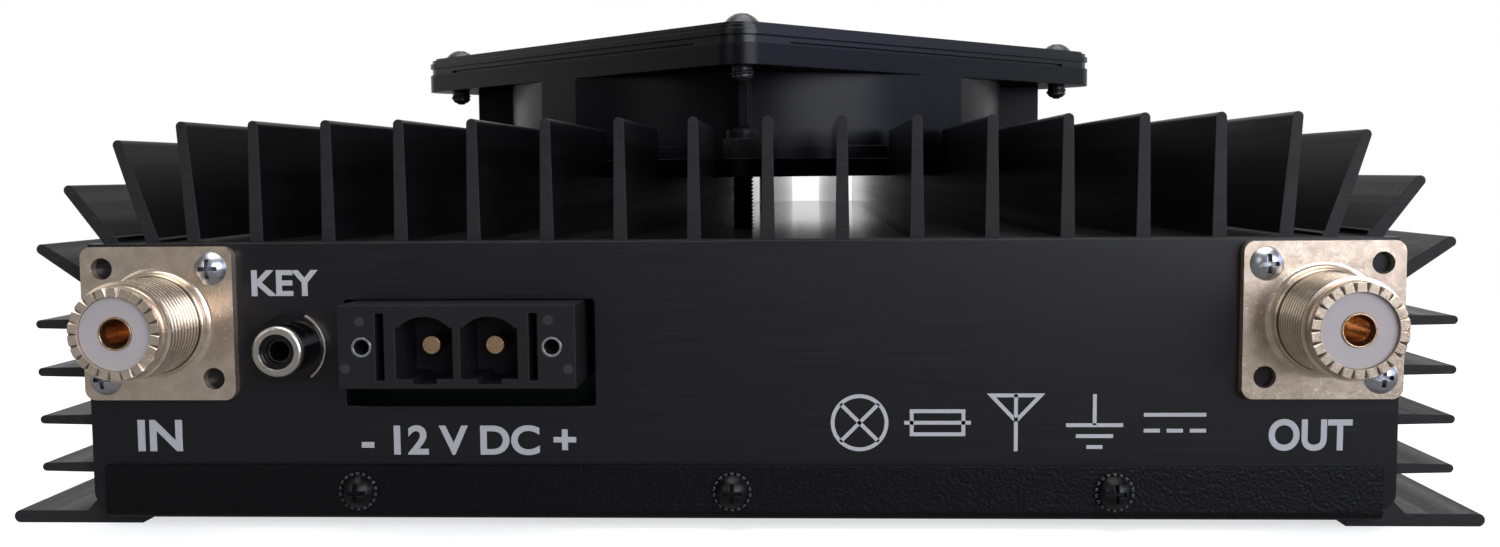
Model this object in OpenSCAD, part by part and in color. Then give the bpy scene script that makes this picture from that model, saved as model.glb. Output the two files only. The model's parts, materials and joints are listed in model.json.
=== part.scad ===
// Radio-frequency power amplifier in a finned aluminium housing.
// The connector end faces -Y, the control end faces +Y and the feet stand on Z = 0.
// All sizes are in millimetres.

/* [Housing] */
// Width of the end panels and of the extrusion between its side fins
body_w = 214.8; // [200:1:240]
// Length over the two end panels
body_l = 290; // [270:5:340]
// Height of the floor between the top fins
floor_h = 47.6; // [46:0.5:60]
// Thickness of the plate under the top fins
base_t = 5; // [4.5:0.5:6]
// Thickness of the side walls
wall_t = 2.4; // [2:0.2:3.4]
// How far each foot stands out of the side
foot_out = 15.2; // [11:0.2:26]
// Thickness of the feet
foot_t = 2.1; // [1.6:0.1:3]
// How far the foot reaches in under the side wall
ledge_w = 7.1; // [5:0.5:9]

/* [Top fins] */
// Number of upright fins
fin_count = 14; // [10:2:14]
// Distance from fin to fin
fin_pitch = 12.17; // [11.6:0.1:12.3]
// Height of the upright fins above the floor
fin_h = 20.05; // [17:0.5:24]
// Thickness of a fin at its tip
fin_tip = 1.7; // [1.3:0.1:2]
// Thickness of a fin at its root
fin_root = 2.3; // [2:0.1:2.6]

/* [Corner and side fins] */
// Tilt of each corner fin, in degrees from upright
corner_tilt = [4.5, 18.2, 38.2];
// Length of each corner fin
corner_len = [20.1, 17.9, 12];
// How far in from the side wall each corner fin stands
corner_in = [17.7, 10.7, 3.6];
// Tilt of the upper side fin, in degrees from upright
shoulder_tilt = 56.6; // [52:1:60]
// Length of the upper side fin
shoulder_len = 10.9; // [9:0.5:12]
// Height of the root of the upper side fin
shoulder_z = 41; // [39:0.5:42]
// Number of level side fins
side_count = 4; // [3:1:4]
// Distance between the level side fins
side_pitch = 8.1; // [7.6:0.1:8.3]
// Height of the lowest side fin
side_z = 9.6; // [8:0.2:10]
// How far the side fins stand out
side_out = 9.9; // [8:0.5:12]

/* [End panels and bottom cover] */
// Thickness of the end panels
panel_t = 2; // [1.5:0.5:3]
// Thickness of the bottom cover sheet
cover_t = 1.2; // [1:0.1:1.3]
// Height of the underside of the bottom cover
cover_z = 1.5; // [0.8:0.1:1.5]
// Height of the top edge of the cover's lips
lip_top = 10.5; // [10:0.5:14]
// How far in from the sides the cover's lips end
lip_in = 2.55; // [2.4:0.05:6]
// Distance between the screws in a lip
lip_screw_gap = 62; // [50:1:80]
// Height of the screws in the lips
lip_screw_z = 6.35; // [6.3:0.05:6.6]

/* [Fan] */
// Side of the square fan
fan_w = 119; // [118:0.5:120]
// Thickness of the fan
fan_t = 25.5; // [25:0.5:28]
// Distance of the fan's screw holes from its sides
fan_hole_in = 7; // [6.5:0.25:7.5]
// Distance from the connector panel to the fan's axis
fan_back = 121.15; // [110:1:160]
// Height of the fan's underside, where the fins are milled down
fan_z = 57.6; // [55:0.5:60]
// Thickness of the finger guard
guard_t = 4.1; // [3:0.5:6]
// Gap round the fan in its pocket
pocket_gap = 1.5; // [1:0.5:3]
// Gap between the blades and the throat
tip_gap = 1.5; // [1:0.25:3]
// Thinnest wall between the throat and the fan's side
throat_wall = 2; // [1.75:0.25:3]
// Radius of the rotor's hub
hub_r = 20; // [18:0.5:23]
// Number of fan blades
blade_count = 7; // [5:1:9]

/* [Coaxial sockets] */
// Distance of each socket's middle from the panel's side
so_in = 12.75; // [12.75:0.05:14.4]
// Height of the sockets
so_z = 34.3; // [33.8:0.1:34.6]
// Side of the square flange
so_flange = 25.4; // [25:0.1:26]
// Distance between the flange holes
so_hole_gap = 18.24; // [18:0.04:18.4]
// Thickness of the flange
so_flange_t = 1.7; // [1.5:0.1:2.5]
// How far the socket stands out of the panel
so_len = 16.35; // [15:0.05:19]
// Radius over the socket's thread
so_r = 7.94; // [7.9:0.01:8]
// Bore radius of the centre contact
so_pin_r = 2.0; // [1.98:0.01:2.1]

/* [Key jack] */
// Distance from the input socket's middle to the key jack's
jack_gap = 21.6; // [21.2:0.1:22.6]
// Height of the key jack
jack_z = 30.2; // [29:0.1:32]
// Outer radius of the jack's sleeve
jack_r = 4.15; // [4.1:0.01:4.2]
// How far the jack stands out
jack_len = 6.55; // [6:0.1:9]

/* [Power header] */
// Distance from the key jack's middle to the header's
header_gap = 29.8; // [29:0.1:32]
// Height of the header's middle
header_z = 31.2; // [30.8:0.1:31.5]
// Width of the header
header_w = 38.1; // [38:0.1:39]
// Height of the header
header_h = 13.3; // [13:0.1:14]
// How far the header stands out of the panel
header_out = 8.5; // [4:0.5:10]
// Distance between the two power pins
power_pitch = 10.4; // [10.2:0.05:10.5]
// Distance between the two screw inserts
insert_pitch = 30.5; // [30.4:0.1:31]

/* [Controls] */
// Distance of the power button from the panel's side
power_in = 25.4; // [23.4:0.2:27.4]
// Height of the row of controls
control_z = 27; // [25:0.5:29]
// Radius of the power button
power_r = 6; // [5:0.5:7]
// Radius of the small buttons
key_r = 4; // [3:0.5:4.5]
// Travel of the power button
power_travel = 2; // [1:0.5:2.5]
// Travel of the small buttons
key_travel = 1; // [0.5:0.5:1.5]
// Distance between the two small buttons
key_gap = 22; // [18:1:26]
// How far the buttons stand out at rest
button_out = 5; // [3.5:0.5:6]
// Number of status lights
light_count = 6; // [3:1:7]

/* [Inside] */
// Gap between the heatsink and the radio-frequency board
board_gap = 2; // [1.5:0.5:4]
// Thickness of the circuit boards
board_t = 1.6; // [1:0.2:2]
// Width of the free aisle on each side of the radio-frequency board
board_aisle = 25; // [23.5:0.5:29]
// Length of the radio-frequency board
board_l = 190; // [190:5:205]

/* [Hidden] */
$fn = 64;

// Clearances
fit = 0.05;
slack = 0.3;
sheet_gap = 0.2;

// Places along Y
overall_l = so_len + body_l + button_out;
conn_y = so_len - overall_l / 2;
ctrl_y = conn_y + body_l;
inner_y0 = conn_y + panel_t;
inner_y1 = ctrl_y - panel_t;
fan_y = conn_y + fan_back;

// Housing
half_w = body_w / 2;
so_x = half_w - so_in;
inner_half = half_w - wall_t;
base_z = floor_h - base_t;
ledge_x = half_w - ledge_w;
corner_cut = 3;
root_fillet = 0.4;
fillet_sink = 0.2;
fillet_lap = 0.1;
fin_sink = 1;
side_tip = 1.4;
side_root = 1.8;
pocket_w = fan_w + 2 * pocket_gap;
port_r = 3;
port_bore = 1.25;
ports = [for (s = [-1, 1]) each [[s * (so_x - so_hole_gap / 2), so_z + so_hole_gap / 2],
                                 [s * (so_x + so_hole_gap / 2), so_z - so_hole_gap / 2]]];

// Panels and cover
lip_w = body_w - 2 * lip_in;
bend_r = 1.6;
panel_z = cover_z + bend_r + sheet_gap;
panel_top = floor_h - 0.15;
panel_corner = 2.5;
top_bevel = 0.6;
cover_x = ledge_x - 0.5;
m3_r = 1.5;
m3_hole = 1.7;
washer_r = 3.15;
washer_t = 0.6;
washer_teeth = 18;
washer_hole = 1.6;
pan_r = 2.8;
pan_h = 1.9;
cross_w = 0.7;
cross_d = 1.1;
cross_share = 1.15;
shank_sink = 0.4;
screw_bite = 2.8;
nut_plate_r = 2.9;
nut_plate_t = 2.5;
nut_grip_r = nut_plate_r - 1;
nut_grip_gap = 0.1;
lip_screw_l = 7;

// Fan
flange_t = 4.1;
foot_flange_t = 3.6;
fan_corner = 6;
fan_hole_gap = fan_w - 2 * fan_hole_in;
hole_circle_r = fan_hole_gap / sqrt(2);
throat_r = fan_w / 2 - throat_wall;
blade_r = throat_r - tip_gap;
tube_t = 2.35;
tube_r = throat_r + tube_t;
web_in = 4.65;
web_r = hole_circle_r - web_in;
web_t = 2;
collar_t = 1.65;
collar_r = tube_r + collar_t;
collar_h = 2.7;
collar_half = 28.5;
fan_hole_r = 2.25;
fan_top = fan_z + fan_t;
strut_w = 6;
strut_t = 3;
strut_lap = 2;
throat_lap = 0.7;
mount_r = 19;
sleeve_r = 5.2;
bearing_r = 4;
bearing_t = 3;
bearing_wall = 1;
bearing_floor = 2;
shaft_r = 1.5;
shaft_fit = 0.03;
shaft_low = fan_z + 2.6;
shaft_cover = 0.8;
bearing_rise = 4.2;
bearing_span = 9.8;
bearing_low = fan_z + bearing_rise;
bearing_high = bearing_low + bearing_span;
rotor_gap = 0.3;
hub_low = fan_z + strut_t + 1.2;
hub_high = fan_top - 1;
hub_wall = 1.4;
hub_cap = 1.8;
magnet_t = 1.3;
blade_t = 1.5;
blade_curve = 24;
blade_pitch = 42;
blade_sink = 0.6;
blade_z0 = fan_z + 7.5;
blade_z1 = fan_top - 2.5;
stud_r = 2;
stud_top = 6.4;
stud_hole_d = 3.2;
nut_r = 3.83;
nut_h = 3.8;
nut_collar_r = 3.3;
nut_collar_h = 1.7;
tap_r = 2.1;
tap_tip = 3;
tap_head_r = 3.6;
tap_head_h = 2.2;
guard_open_r = blade_r + 0.5;
guard_rings = 5;
guard_bar = 1.7;
guard_bar_h = 2.6;
guard_hub_r = 11;

// Coaxial sockets
flange_corner = 1.8;
flange_hole_r = 1.8;
base_collar_r = 8.3;
base_collar_h = 1.5;
base_curve = 1;
rim_len = 2;
thread_pitch = 1.058;
thread_depth = 0.55;
thread_lead = 0.5;
crest_share = 0.35;
flank_share = 0.68;
neck_len = 0.4;
collar_edge = 0.3;
thread_len = so_len - rim_len - thread_lead - so_flange_t - base_collar_h - collar_edge;
thread_count = floor(thread_len / thread_pitch - flank_share) + 1;
rim_r = 7.25;
rim_teeth = 22;
tooth_in = 1.8;
tooth_tilt = 14;
so_inner_r = 5.85;
insulator_recess = 0.7;
contact_r = 2.6;
contact_recess = 0.5;
contact_depth = 11.5;
mouth_depth = 1.2;
mouth_wall = 0.15;
rear_r = 5;
rear_l = 5;
solder_r = 1.9;
solder_l = 11;
so_screw_r = 1.15;
so_screw_l = 12;
so_head_r = 2.75;
so_head_h = 1.6;

// Key jack
jack_x = so_x - jack_gap;
ring_r = 6.15;
ring_t = 1.1;
ring_ends = [-54, 62];
bezel_r = 5.75;
bezel_t = 1.5;
jack_inner_r = 2.9;
barrel_r = 3.5;
lip_len = 1.6;
lip_round = 0.6;
body_step = 0.1;
jack_hole_r = barrel_r + 0.4;
jack_pin_r = 1.65;
jack_contact_r = jack_pin_r + 0.35;
jack_depth = 9;
board_y0 = inner_y0 + 7;
jack_rear = board_y0 - conn_y;

// Power header
header_x = jack_x - header_gap;
cut_w = header_w + 3.6;
cut_top = header_h / 2 + sheet_gap;
cut_bottom = header_h / 2 + 4.3;
cut_corner = 0.6;
bay_w = 9.2;
bay_side_h = 8.3;
bay_low = 5.2;
bay_arch = 1.75;
arch_share = 0.8;
bay_depth = 12;
keyway_w = 3.9;
keyway_h = 0.8;
slot_w = 1.4;
slot_h = 10.8;
slot_depth = 6;
slot_x = 12.3;
pin_r = 1.45;
pin_recess = 4.5;
pin_drop = 0.2;
insert_r = 1.6;
insert_bore = 1.25;
insert_l = 8;
insert_relief = 1.5;
header_back = board_y0 - conn_y;
conn_board_left = 7.5;
conn_board_right = 9;
conn_post_left = 2.5;
conn_post_right = 3.5;
conn_board_x0 = -(jack_x + conn_board_left);
conn_board_x1 = -(header_x - header_w / 2 - conn_board_right);
conn_board_z0 = 18;
conn_board_z1 = base_z - 1.6;
conn_posts_x = [-(jack_x + conn_post_left), conn_board_x1 - conn_post_right];
conn_post_z = 22.2;
post_r = 2.2;

// Controls
power_x = half_w - power_in;
key_mid = 30;
key_x = [key_mid + key_gap / 2, key_mid - key_gap / 2];
light_pitch = 12;
light_x0 = -70;
light_r = 1.5;
cap_flange = 1.2;
cap_flange_t = 1;
ctrl_board_back = 11;
ctrl_board_side = 10;
ctrl_board_y = inner_y1 - ctrl_board_back;
ctrl_board_x = power_x + ctrl_board_side;
ctrl_post_in = 4;
ctrl_post_mid = -14;
switch_room = 22;
ctrl_board_z0 = 15;
ctrl_board_z1 = 37;
ctrl_posts_x = [ctrl_post_in - ctrl_board_x, ctrl_post_mid, power_x - switch_room];
ctrl_post_z = 19;
stem_r = 1.6;
switch_w = 9;
switch_d = 6;
well_d = 4;

// Inside
board_w = 2 * (inner_half - board_aisle);
board_top = base_z - board_gap;
board_low = board_top - board_t;
board_y0_gap = 20;
board_y = inner_y0 + board_y0_gap + board_l / 2;
spacer_r = 3;
spacer_in = 6;
spacer_x = [spacer_in - board_w / 2, 0, board_w / 2 - spacer_in];
spacer_y = [board_y - board_l / 2 + spacer_in, board_y + board_l / 2 - spacer_in];
left_edge = -board_w / 2;
right_edge = board_w / 2;
device_x = [-37, -13, 13, 37];
device_y = fan_y;
device_w = 9.6;
device_l = 24.8;
device_flange_t = 1.6;
device_cap_l = 12.6;
device_cap_h = base_z - device_flange_t - board_low + 2.4;
device_hole = 18.4;
lead_w = 5;
lead_l = 7;
lead_t = 0.2;
former_off = 38;
input_former = [24, 15, 11];
input_tube_r = 2.4;
output_former = [48, 30, 17];
output_tube_r = 5;
coil_in = 2.2;
coil_gap = 1.4;
coil_edge = 5.2;
coil_first = -66;
torus_out = (right_edge - output_former[0] / 2 - coil_in - coil_gap - coil_edge) / 4;
torus_wall = 6.8;
torus_h = 9;
coil_step = 2 * torus_out + coil_gap;
coil_x = [output_former[0] / 2 + coil_in + torus_out, right_edge - coil_edge - torus_out];
coil_y = [for (i = [0 : 3]) coil_first + i * coil_step];
coil_places = concat([for (y = [coil_y[0], coil_y[1]]) [coil_x[0], y]], [for (y = coil_y) [coil_x[1], y]]);
relay_size = [13, 20, 15];
relay_in = 12;
relay_step = [22, 28];
relay_first = -62;
relay_x = [left_edge + relay_in, left_edge + relay_in + relay_step[0]];
relay_y = [relay_first, relay_first + relay_step[1]];
relay_places = [for (y = relay_y, x = relay_x) [x, y]];
capacitor_r = 8;
capacitor_h = 21;
capacitor_in = 12;
capacitor_step = 20;
capacitor_y = 24;
capacitor_places = [for (i = [0, 1]) [left_edge + capacitor_in + i * capacitor_step, capacitor_y]];
mica_size = [7, 6, 2.4];
mica_in = 10;
mica_step = 12;
mica_gap = 8.2;
mica_first = coil_y[3] + torus_out + mica_size[1] / 2 + mica_gap;
mica_places = [for (i = [0 : 2], j = [0 : 2])
    [right_edge - mica_in - i * mica_step, mica_first + j * mica_step]];

module along_y(y0, y1) {
    translate([0, y1, 0]) rotate([90, 0, 0]) linear_extrude(y1 - y0) children();
}

// Puts a piece on the connector panel: its Z axis points out of the panel.
module at_connector(x, z) {
    translate([x, conn_y, z]) rotate([90, 0, 0]) children();
}

// Puts a piece on the control panel: its Z axis points out of the panel.
module at_control(x, z) {
    translate([x, ctrl_y, z]) rotate([-90, 0, 0]) children();
}

module round_square(w, d, r) {
    square([w - 2 * r, d], center = true);
    square([w, d - 2 * r], center = true);
    for (x = [-1, 1], y = [-1, 1]) translate([x * (w / 2 - r), y * (d / 2 - r)]) circle(r);
}

module tube(r_out, r_in, h) {
    difference() {
        cylinder(r = r_out, h = h);
        translate([0, 0, -1]) cylinder(r = r_in, h = h + 2);
    }
}

// Cross-shaped recess, cut down from Z = 0.
module cross_cut(len, width, deep) {
    for (a = [0, 90]) rotate(a) translate([0, 0, 0.5 - deep / 2])
        cube([len, width, deep + 1], center = true);
}

// Pan-head screw with a cross recess: the head stands on Z = 0, the shank runs down.
module pan_screw(head_r, head_h, shank_r, shank_l) {
    ball = (head_r * head_r + head_h * head_h) / (2 * head_h);
    difference() {
        intersection() {
            translate([0, 0, head_h - ball]) sphere(ball);
            cylinder(r = head_r, h = head_h + 1);
        }
        translate([0, 0, head_h]) cross_cut(head_r * cross_share, cross_w, cross_d);
    }
    translate([0, 0, -shank_l]) cylinder(r = shank_r, h = shank_l + shank_sink);
}

// ---- Housing -------------------------------------------------------------

module fin_2d(len, tip, root) {
    polygon([[-root / 2, -fin_sink], [root / 2, -fin_sink],
             [tip / 2, len - tip / 2], [-tip / 2, len - tip / 2]]);
    translate([0, len - tip / 2]) circle(d = tip, $fn = 32);
    polygon([[-root / 2 - root_fillet, -fillet_sink], [root / 2 + root_fillet, -fillet_sink],
             [root / 2 + root_fillet, 0], [root / 2 - fillet_lap, root_fillet],
             [fillet_lap - root / 2, root_fillet], [-root / 2 - root_fillet, 0]]);
}

module shell_2d() {
    difference() {
        polygon([[-half_w, foot_t], [half_w, foot_t], [half_w, floor_h - corner_cut],
                 [half_w - corner_cut, floor_h], [corner_cut - half_w, floor_h],
                 [-half_w, floor_h - corner_cut]]);
        translate([-inner_half, 0]) square([2 * inner_half, base_z]);
    }
}

module side_2d() {
    foot_fillet = 2.5;
    polygon([[half_w - 1, foot_t], [half_w + foot_fillet, foot_t],
             [half_w, foot_t + foot_fillet], [half_w - 1, foot_t + foot_fillet]]);
    for (i = [0 : side_count - 1]) translate([half_w, side_z + i * side_pitch])
        rotate(-90) fin_2d(side_out, side_tip, side_root);
    translate([half_w, shoulder_z]) rotate(-shoulder_tilt) fin_2d(shoulder_len, fin_tip, fin_root);
    for (i = [0 : len(corner_tilt) - 1]) translate([half_w - corner_in[i], floor_h])
        rotate(-corner_tilt[i]) fin_2d(corner_len[i], fin_tip, fin_root);
}

module housing_2d() {
    difference() {
        union() {
            shell_2d();
            side_2d();
            mirror([1, 0]) side_2d();
            for (p = ports) translate(p) circle(port_r);
        }
        for (p = ports) translate(p) circle(port_bore);
    }
}

module stud_places() {
    for (a = [0 : 90 : 270]) translate([0, fan_y, 0]) rotate(a)
        translate([0, hole_circle_r, 0]) children();
}

module stud_bores() {
    stud_places() translate([0, 0, floor_h - stud_hole_d])
        cylinder(r = stud_r + fit, h = stud_hole_d + fan_z - floor_h + 1);
}

module heatsink_housing() {
    color("#26262a") difference() {
        along_y(inner_y0, inner_y1) housing_2d();
        fan_pocket(fan_z, fin_h);
        stud_bores();
        for (x = device_x, s = [-1, 1])
            translate([x, device_y + s * device_hole / 2, base_z - 1])
                cylinder(r = port_bore, h = base_t - 1);
        for (x = spacer_x, y = spacer_y) translate([x, y, base_z - 1])
            cylinder(r = port_bore, h = base_t - 1);
    }
}

// The extrusion's two long feet, which also carry the bottom cover.
module foot_rails() {
    edge_r = foot_t / 2;
    color("#26262a") along_y(inner_y0, inner_y1) for (s = [0, 1]) mirror([s, 0]) {
        translate([ledge_x, 0]) square([half_w + foot_out - edge_r - ledge_x, foot_t]);
        translate([half_w + foot_out - edge_r, edge_r]) circle(r = edge_r, $fn = 32);
    }
}

// The extrusion's upright fins, whose round tips run on from the leaning sides without a step.
module upright_fins() {
    tip_r = fin_tip / 2;
    lean = atan((fin_root / 2 - tip_r) / (fin_h - tip_r));
    side_h = fin_h - tip_r + tip_r * sin(lean);
    along_y(inner_y0, inner_y1) for (i = [0 : fin_count - 1])
        translate([(i - (fin_count - 1) / 2) * fin_pitch, floor_h]) {
            polygon([[-fin_root / 2, 0], [fin_root / 2, 0],
                     [tip_r * cos(lean), side_h], [-tip_r * cos(lean), side_h]]);
            translate([0, fin_h - tip_r]) circle(r = tip_r, $fn = 32);
        }
}

module fan_pocket(z, h) {
    translate([0, fan_y, z]) rotate(45) translate([-pocket_w / 2, -pocket_w / 2, 0])
        cube([pocket_w, pocket_w, h]);
}

// Fins of full height, before and behind the fan.
module top_fins() {
    color("#26262a") difference() {
        upright_fins();
        fan_pocket(floor_h - 1, fin_h + 2);
        stud_bores();
    }
}

// The same fins milled low where the fan sits on them.
module fan_bed_fins() {
    color("#26262a") difference() {
        intersection() {
            upright_fins();
            fan_pocket(floor_h, fan_z - floor_h);
        }
        stud_bores();
    }
}

module panel_2d() {
    mid = (panel_z + panel_top) / 2;
    translate([0, mid]) round_square(body_w, panel_top - panel_z, panel_corner);
    translate([-half_w, mid]) square([body_w, panel_top - mid - top_bevel]);
    translate([top_bevel - half_w, mid]) square([body_w - 2 * top_bevel, panel_top - mid]);
}

module lip_screw_places() {
    for (i = [-1 : 1]) translate([i * lip_screw_gap, 0, lip_screw_z]) children();
}

module connector_panel() {
    color("#202024") difference() {
        along_y(conn_y, conn_y + panel_t) panel_2d();
        for (s = [-1, 1]) at_connector(s * so_x, so_z) {
            translate([0, 0, -panel_t - 1]) cylinder(r = rear_r + slack, h = panel_t + 2);
            for (t = [-1, 1]) translate([s * t * so_hole_gap / 2, -t * so_hole_gap / 2, -panel_t - 1])
                cylinder(r = m3_hole, h = panel_t + 2);
        }
        at_connector(-jack_x, jack_z) translate([0, 0, -panel_t - 1])
            cylinder(r = jack_hole_r, h = panel_t + 2);
        at_connector(-header_x, header_z)
            translate([0, (cut_top - cut_bottom) / 2, -panel_t - 1]) linear_extrude(panel_t + 2)
                round_square(cut_w, cut_top + cut_bottom, cut_corner);
        lip_screw_places() translate([0, conn_y, 0]) rotate([90, 0, 0])
            translate([0, 0, -panel_t - 1]) cylinder(r = nut_grip_r + nut_grip_gap, h = panel_t + 2);
    }
}

module control_panel() {
    color("#202024") difference() {
        along_y(ctrl_y - panel_t, ctrl_y) panel_2d();
        for (p = ports) at_control(p[0], p[1]) translate([0, 0, -panel_t - 1])
            cylinder(r = m3_hole, h = panel_t + 2);
        at_control(power_x, control_z) translate([0, 0, -panel_t - 1])
            cylinder(r = power_r + slack, h = panel_t + 2);
        for (x = key_x) at_control(x, control_z) translate([0, 0, -panel_t - 1])
            cylinder(r = key_r + slack, h = panel_t + 2);
        for (i = [0 : light_count - 1]) at_control(light_x0 + i * light_pitch, control_z)
            translate([0, 0, -panel_t - 1]) cylinder(r = light_r + fit, h = panel_t + 2);
        lip_screw_places() translate([0, ctrl_y, 0]) rotate([-90, 0, 0])
            translate([0, 0, -panel_t - 1]) cylinder(r = nut_grip_r + nut_grip_gap, h = panel_t + 2);
    }
}

// One end's lip: the sheet turned up in front of the panel, with a bend of true thickness.
module cover_lip() {
    difference() {
        union() {
            translate([-lip_w / 2, -cover_t, cover_z + bend_r])
                cube([lip_w, cover_t, lip_top - cover_z - bend_r]);
            translate([-lip_w / 2, bend_r - cover_t, cover_z + bend_r]) rotate([0, 90, 0])
                intersection() {
                    tube(bend_r, bend_r - cover_t, lip_w);
                    translate([0, -bend_r, 0]) cube([bend_r, bend_r, lip_w]);
                }
        }
        lip_screw_places() rotate([90, 0, 0]) translate([0, 0, -1])
            cylinder(r = m3_hole, h = cover_t + 2);
    }
    translate([-cover_x, bend_r - cover_t, cover_z]) cube([2 * cover_x, 4, cover_t]);
}

module bottom_cover() {
    color("#2a2a2c") {
        translate([0, conn_y, 0]) cover_lip();
        translate([0, ctrl_y, 0]) mirror([0, 1, 0]) cover_lip();
        translate([-cover_x, conn_y + 2, cover_z]) cube([2 * cover_x, body_l - 4, cover_t]);
    }
}

// Both lips' screw places, with Z pointing out of the lip's outer face.
module both_lips() {
    lip_screw_places() {
        translate([0, conn_y - cover_t, 0]) rotate([90, 0, 0]) children();
        translate([0, ctrl_y + cover_t, 0]) rotate([-90, 0, 0]) children();
    }
}

module cover_screws() {
    color("#1c1c1e") both_lips() translate([0, 0, washer_t])
        pan_screw(pan_r, pan_h, m3_r - fit, lip_screw_l);
}

module cover_washers() {
    tooth = 0.5;
    color("#1c1c1e") both_lips() difference() {
        cylinder(r = washer_r, h = washer_t);
        translate([0, 0, -1]) cylinder(r = washer_hole, h = washer_t + 2);
        for (a = [0 : 360 / washer_teeth : 359]) rotate(a)
            translate([washer_r - tooth, -tooth / 2, -1]) cube([2 * tooth, tooth, washer_t + 2]);
    }
}

module press_nuts() {
    color("silver") both_lips() translate([0, 0, -cover_t - panel_t]) difference() {
        union() {
            translate([0, 0, -nut_plate_t]) cylinder(r = nut_plate_r, h = nut_plate_t);
            cylinder(r = nut_grip_r, h = panel_t - sheet_gap);
        }
        translate([0, 0, -nut_plate_t - 1]) cylinder(r = m3_r, h = nut_plate_t + panel_t + 1);
    }
}

module control_panel_screws() {
    color("#1c1c1e") for (p = ports) at_control(p[0], p[1])
        pan_screw(pan_r, pan_h, so_screw_r, so_screw_l);
}

// ---- Coaxial sockets -----------------------------------------------------

// Half section of the barrel, from the flange face outwards: X is radius, Y runs out.
function thread_points() = [
    for (i = [0 : thread_count - 1])
        let (y = so_len - rim_len - thread_lead - i * thread_pitch)
            each [[so_r, y], [so_r, y - crest_share * thread_pitch],
                  [so_r - thread_depth, y - flank_share * thread_pitch]]
];

module socket_shell() {
    core_r = 0.5;
    difference() {
        union() {
            linear_extrude(so_flange_t) round_square(so_flange, so_flange, flange_corner);
            rotate_extrude() polygon(concat(
                [[core_r, sheet_gap], [core_r, so_len], [rim_r, so_len], [rim_r, so_len - rim_len],
                 [so_r - thread_depth, so_len - rim_len - neck_len]],
                thread_points(),
                [[so_r, so_flange_t + base_collar_h + collar_edge],
                 [base_collar_r, so_flange_t + base_collar_h]],
                [for (a = [0 : 18 : 90]) [base_collar_r + base_curve * (1 - cos(a)),
                                          so_flange_t + base_curve * (1 - sin(a))]],
                [[base_collar_r, sheet_gap]]));
        }
        translate([0, 0, -1]) cylinder(r = so_inner_r, h = so_len + 2);
        for (x = [-1, 1], y = [-1, 1]) translate([x * so_hole_gap / 2, y * so_hole_gap / 2, -1])
            cylinder(r = flange_hole_r, h = so_flange_t + 2);
        for (a = [0 : 360 / rim_teeth : 359]) rotate(a) translate([rim_r - tooth_in, 0, so_len])
            rotate([0, tooth_tilt, 0]) rotate([45, 0, 0]) translate([-1, 0, 0]) cube([rim_len + 2, 2, 2]);
    }
}

module socket_insulator() {
    seat = 0.6;
    difference() {
        union() {
            cylinder(r = so_inner_r - fit, h = so_len - insulator_recess);
            translate([0, 0, -rear_l]) cylinder(r = rear_r, h = rear_l + seat);
        }
        translate([0, 0, -rear_l - 1]) cylinder(r = contact_r + fit, h = so_len + rear_l + 2);
    }
}

module socket_contact() {
    front = so_len - contact_recess;
    cup_wall = 0.6;
    cup_depth = 4;
    difference() {
        union() {
            translate([0, 0, -rear_l]) cylinder(r = contact_r, h = front + rear_l);
            translate([0, 0, -solder_l]) cylinder(r = solder_r, h = solder_l);
        }
        translate([0, 0, front - contact_depth]) cylinder(r = so_pin_r, h = contact_depth);
        translate([0, 0, front - mouth_depth])
            cylinder(r1 = so_pin_r, r2 = contact_r - mouth_wall, h = mouth_depth + sheet_gap);
        translate([0, 0, -solder_l - 1]) cylinder(r = solder_r - cup_wall, h = cup_depth + 1);
    }
}

module input_socket_shell() {
    color("#cfc4a0") at_connector(-so_x, so_z) socket_shell();
}
module input_socket_insulator() {
    color("#e8e8ea") at_connector(-so_x, so_z) socket_insulator();
}
module input_socket_contact() {
    color("#c9a24a") at_connector(-so_x, so_z) socket_contact();
}
module output_socket_shell() {
    color("#cfc4a0") at_connector(so_x, so_z) socket_shell();
}
module output_socket_insulator() {
    color("#e8e8ea") at_connector(so_x, so_z) socket_insulator();
}
module output_socket_contact() {
    color("#c9a24a") at_connector(so_x, so_z) socket_contact();
}

module socket_screws() {
    color("silver") for (p = ports) at_connector(p[0], p[1]) translate([0, 0, so_flange_t])
        pan_screw(so_head_r, so_head_h, so_screw_r, so_screw_l);
}

// ---- Key jack ------------------------------------------------------------

// An open spring ring: its gap faces away from the power header.
module key_jack_ring() {
    color("silver") at_connector(-jack_x, jack_z) intersection() {
        tube(ring_r, bezel_r + fit, ring_t);
        linear_extrude(ring_t) polygon(concat([[0, 0]], [for (a = concat(ring_ends[0], 0, ring_ends[1]))
            [2 * ring_r * cos(a), 2 * ring_r * sin(a)]]));
    }
}

// The jack's black moulding: a disc on the panel and a body that fills the space behind the lip.
module key_jack_bezel() {
    color("#141416") at_connector(-jack_x, jack_z) difference() {
        union() {
            cylinder(r = bezel_r, h = bezel_t);
            cylinder(r = jack_r - body_step, h = jack_len - lip_len - sheet_gap);
        }
        translate([0, 0, -1]) cylinder(r = barrel_r + fit, h = jack_len);
    }
}

// A thin barrel with a rolled lip.
module key_jack_sleeve() {
    core_r = 0.5;
    color("#d8d2c8") at_connector(-jack_x, jack_z) difference() {
        rotate_extrude() polygon(concat(
            [[core_r, -jack_rear], [barrel_r, -jack_rear], [barrel_r, jack_len - lip_len]],
            [for (a = [-90 : 15 : 90]) [jack_r - lip_round + lip_round * cos(a),
                jack_len - (a < 0 ? lip_len : 2 * lip_round) + lip_round * (1 + sin(a))]],
            [[core_r, jack_len]]));
        translate([0, 0, -jack_rear - 1]) cylinder(r = jack_inner_r, h = jack_rear + jack_len + 2);
    }
}

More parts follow.
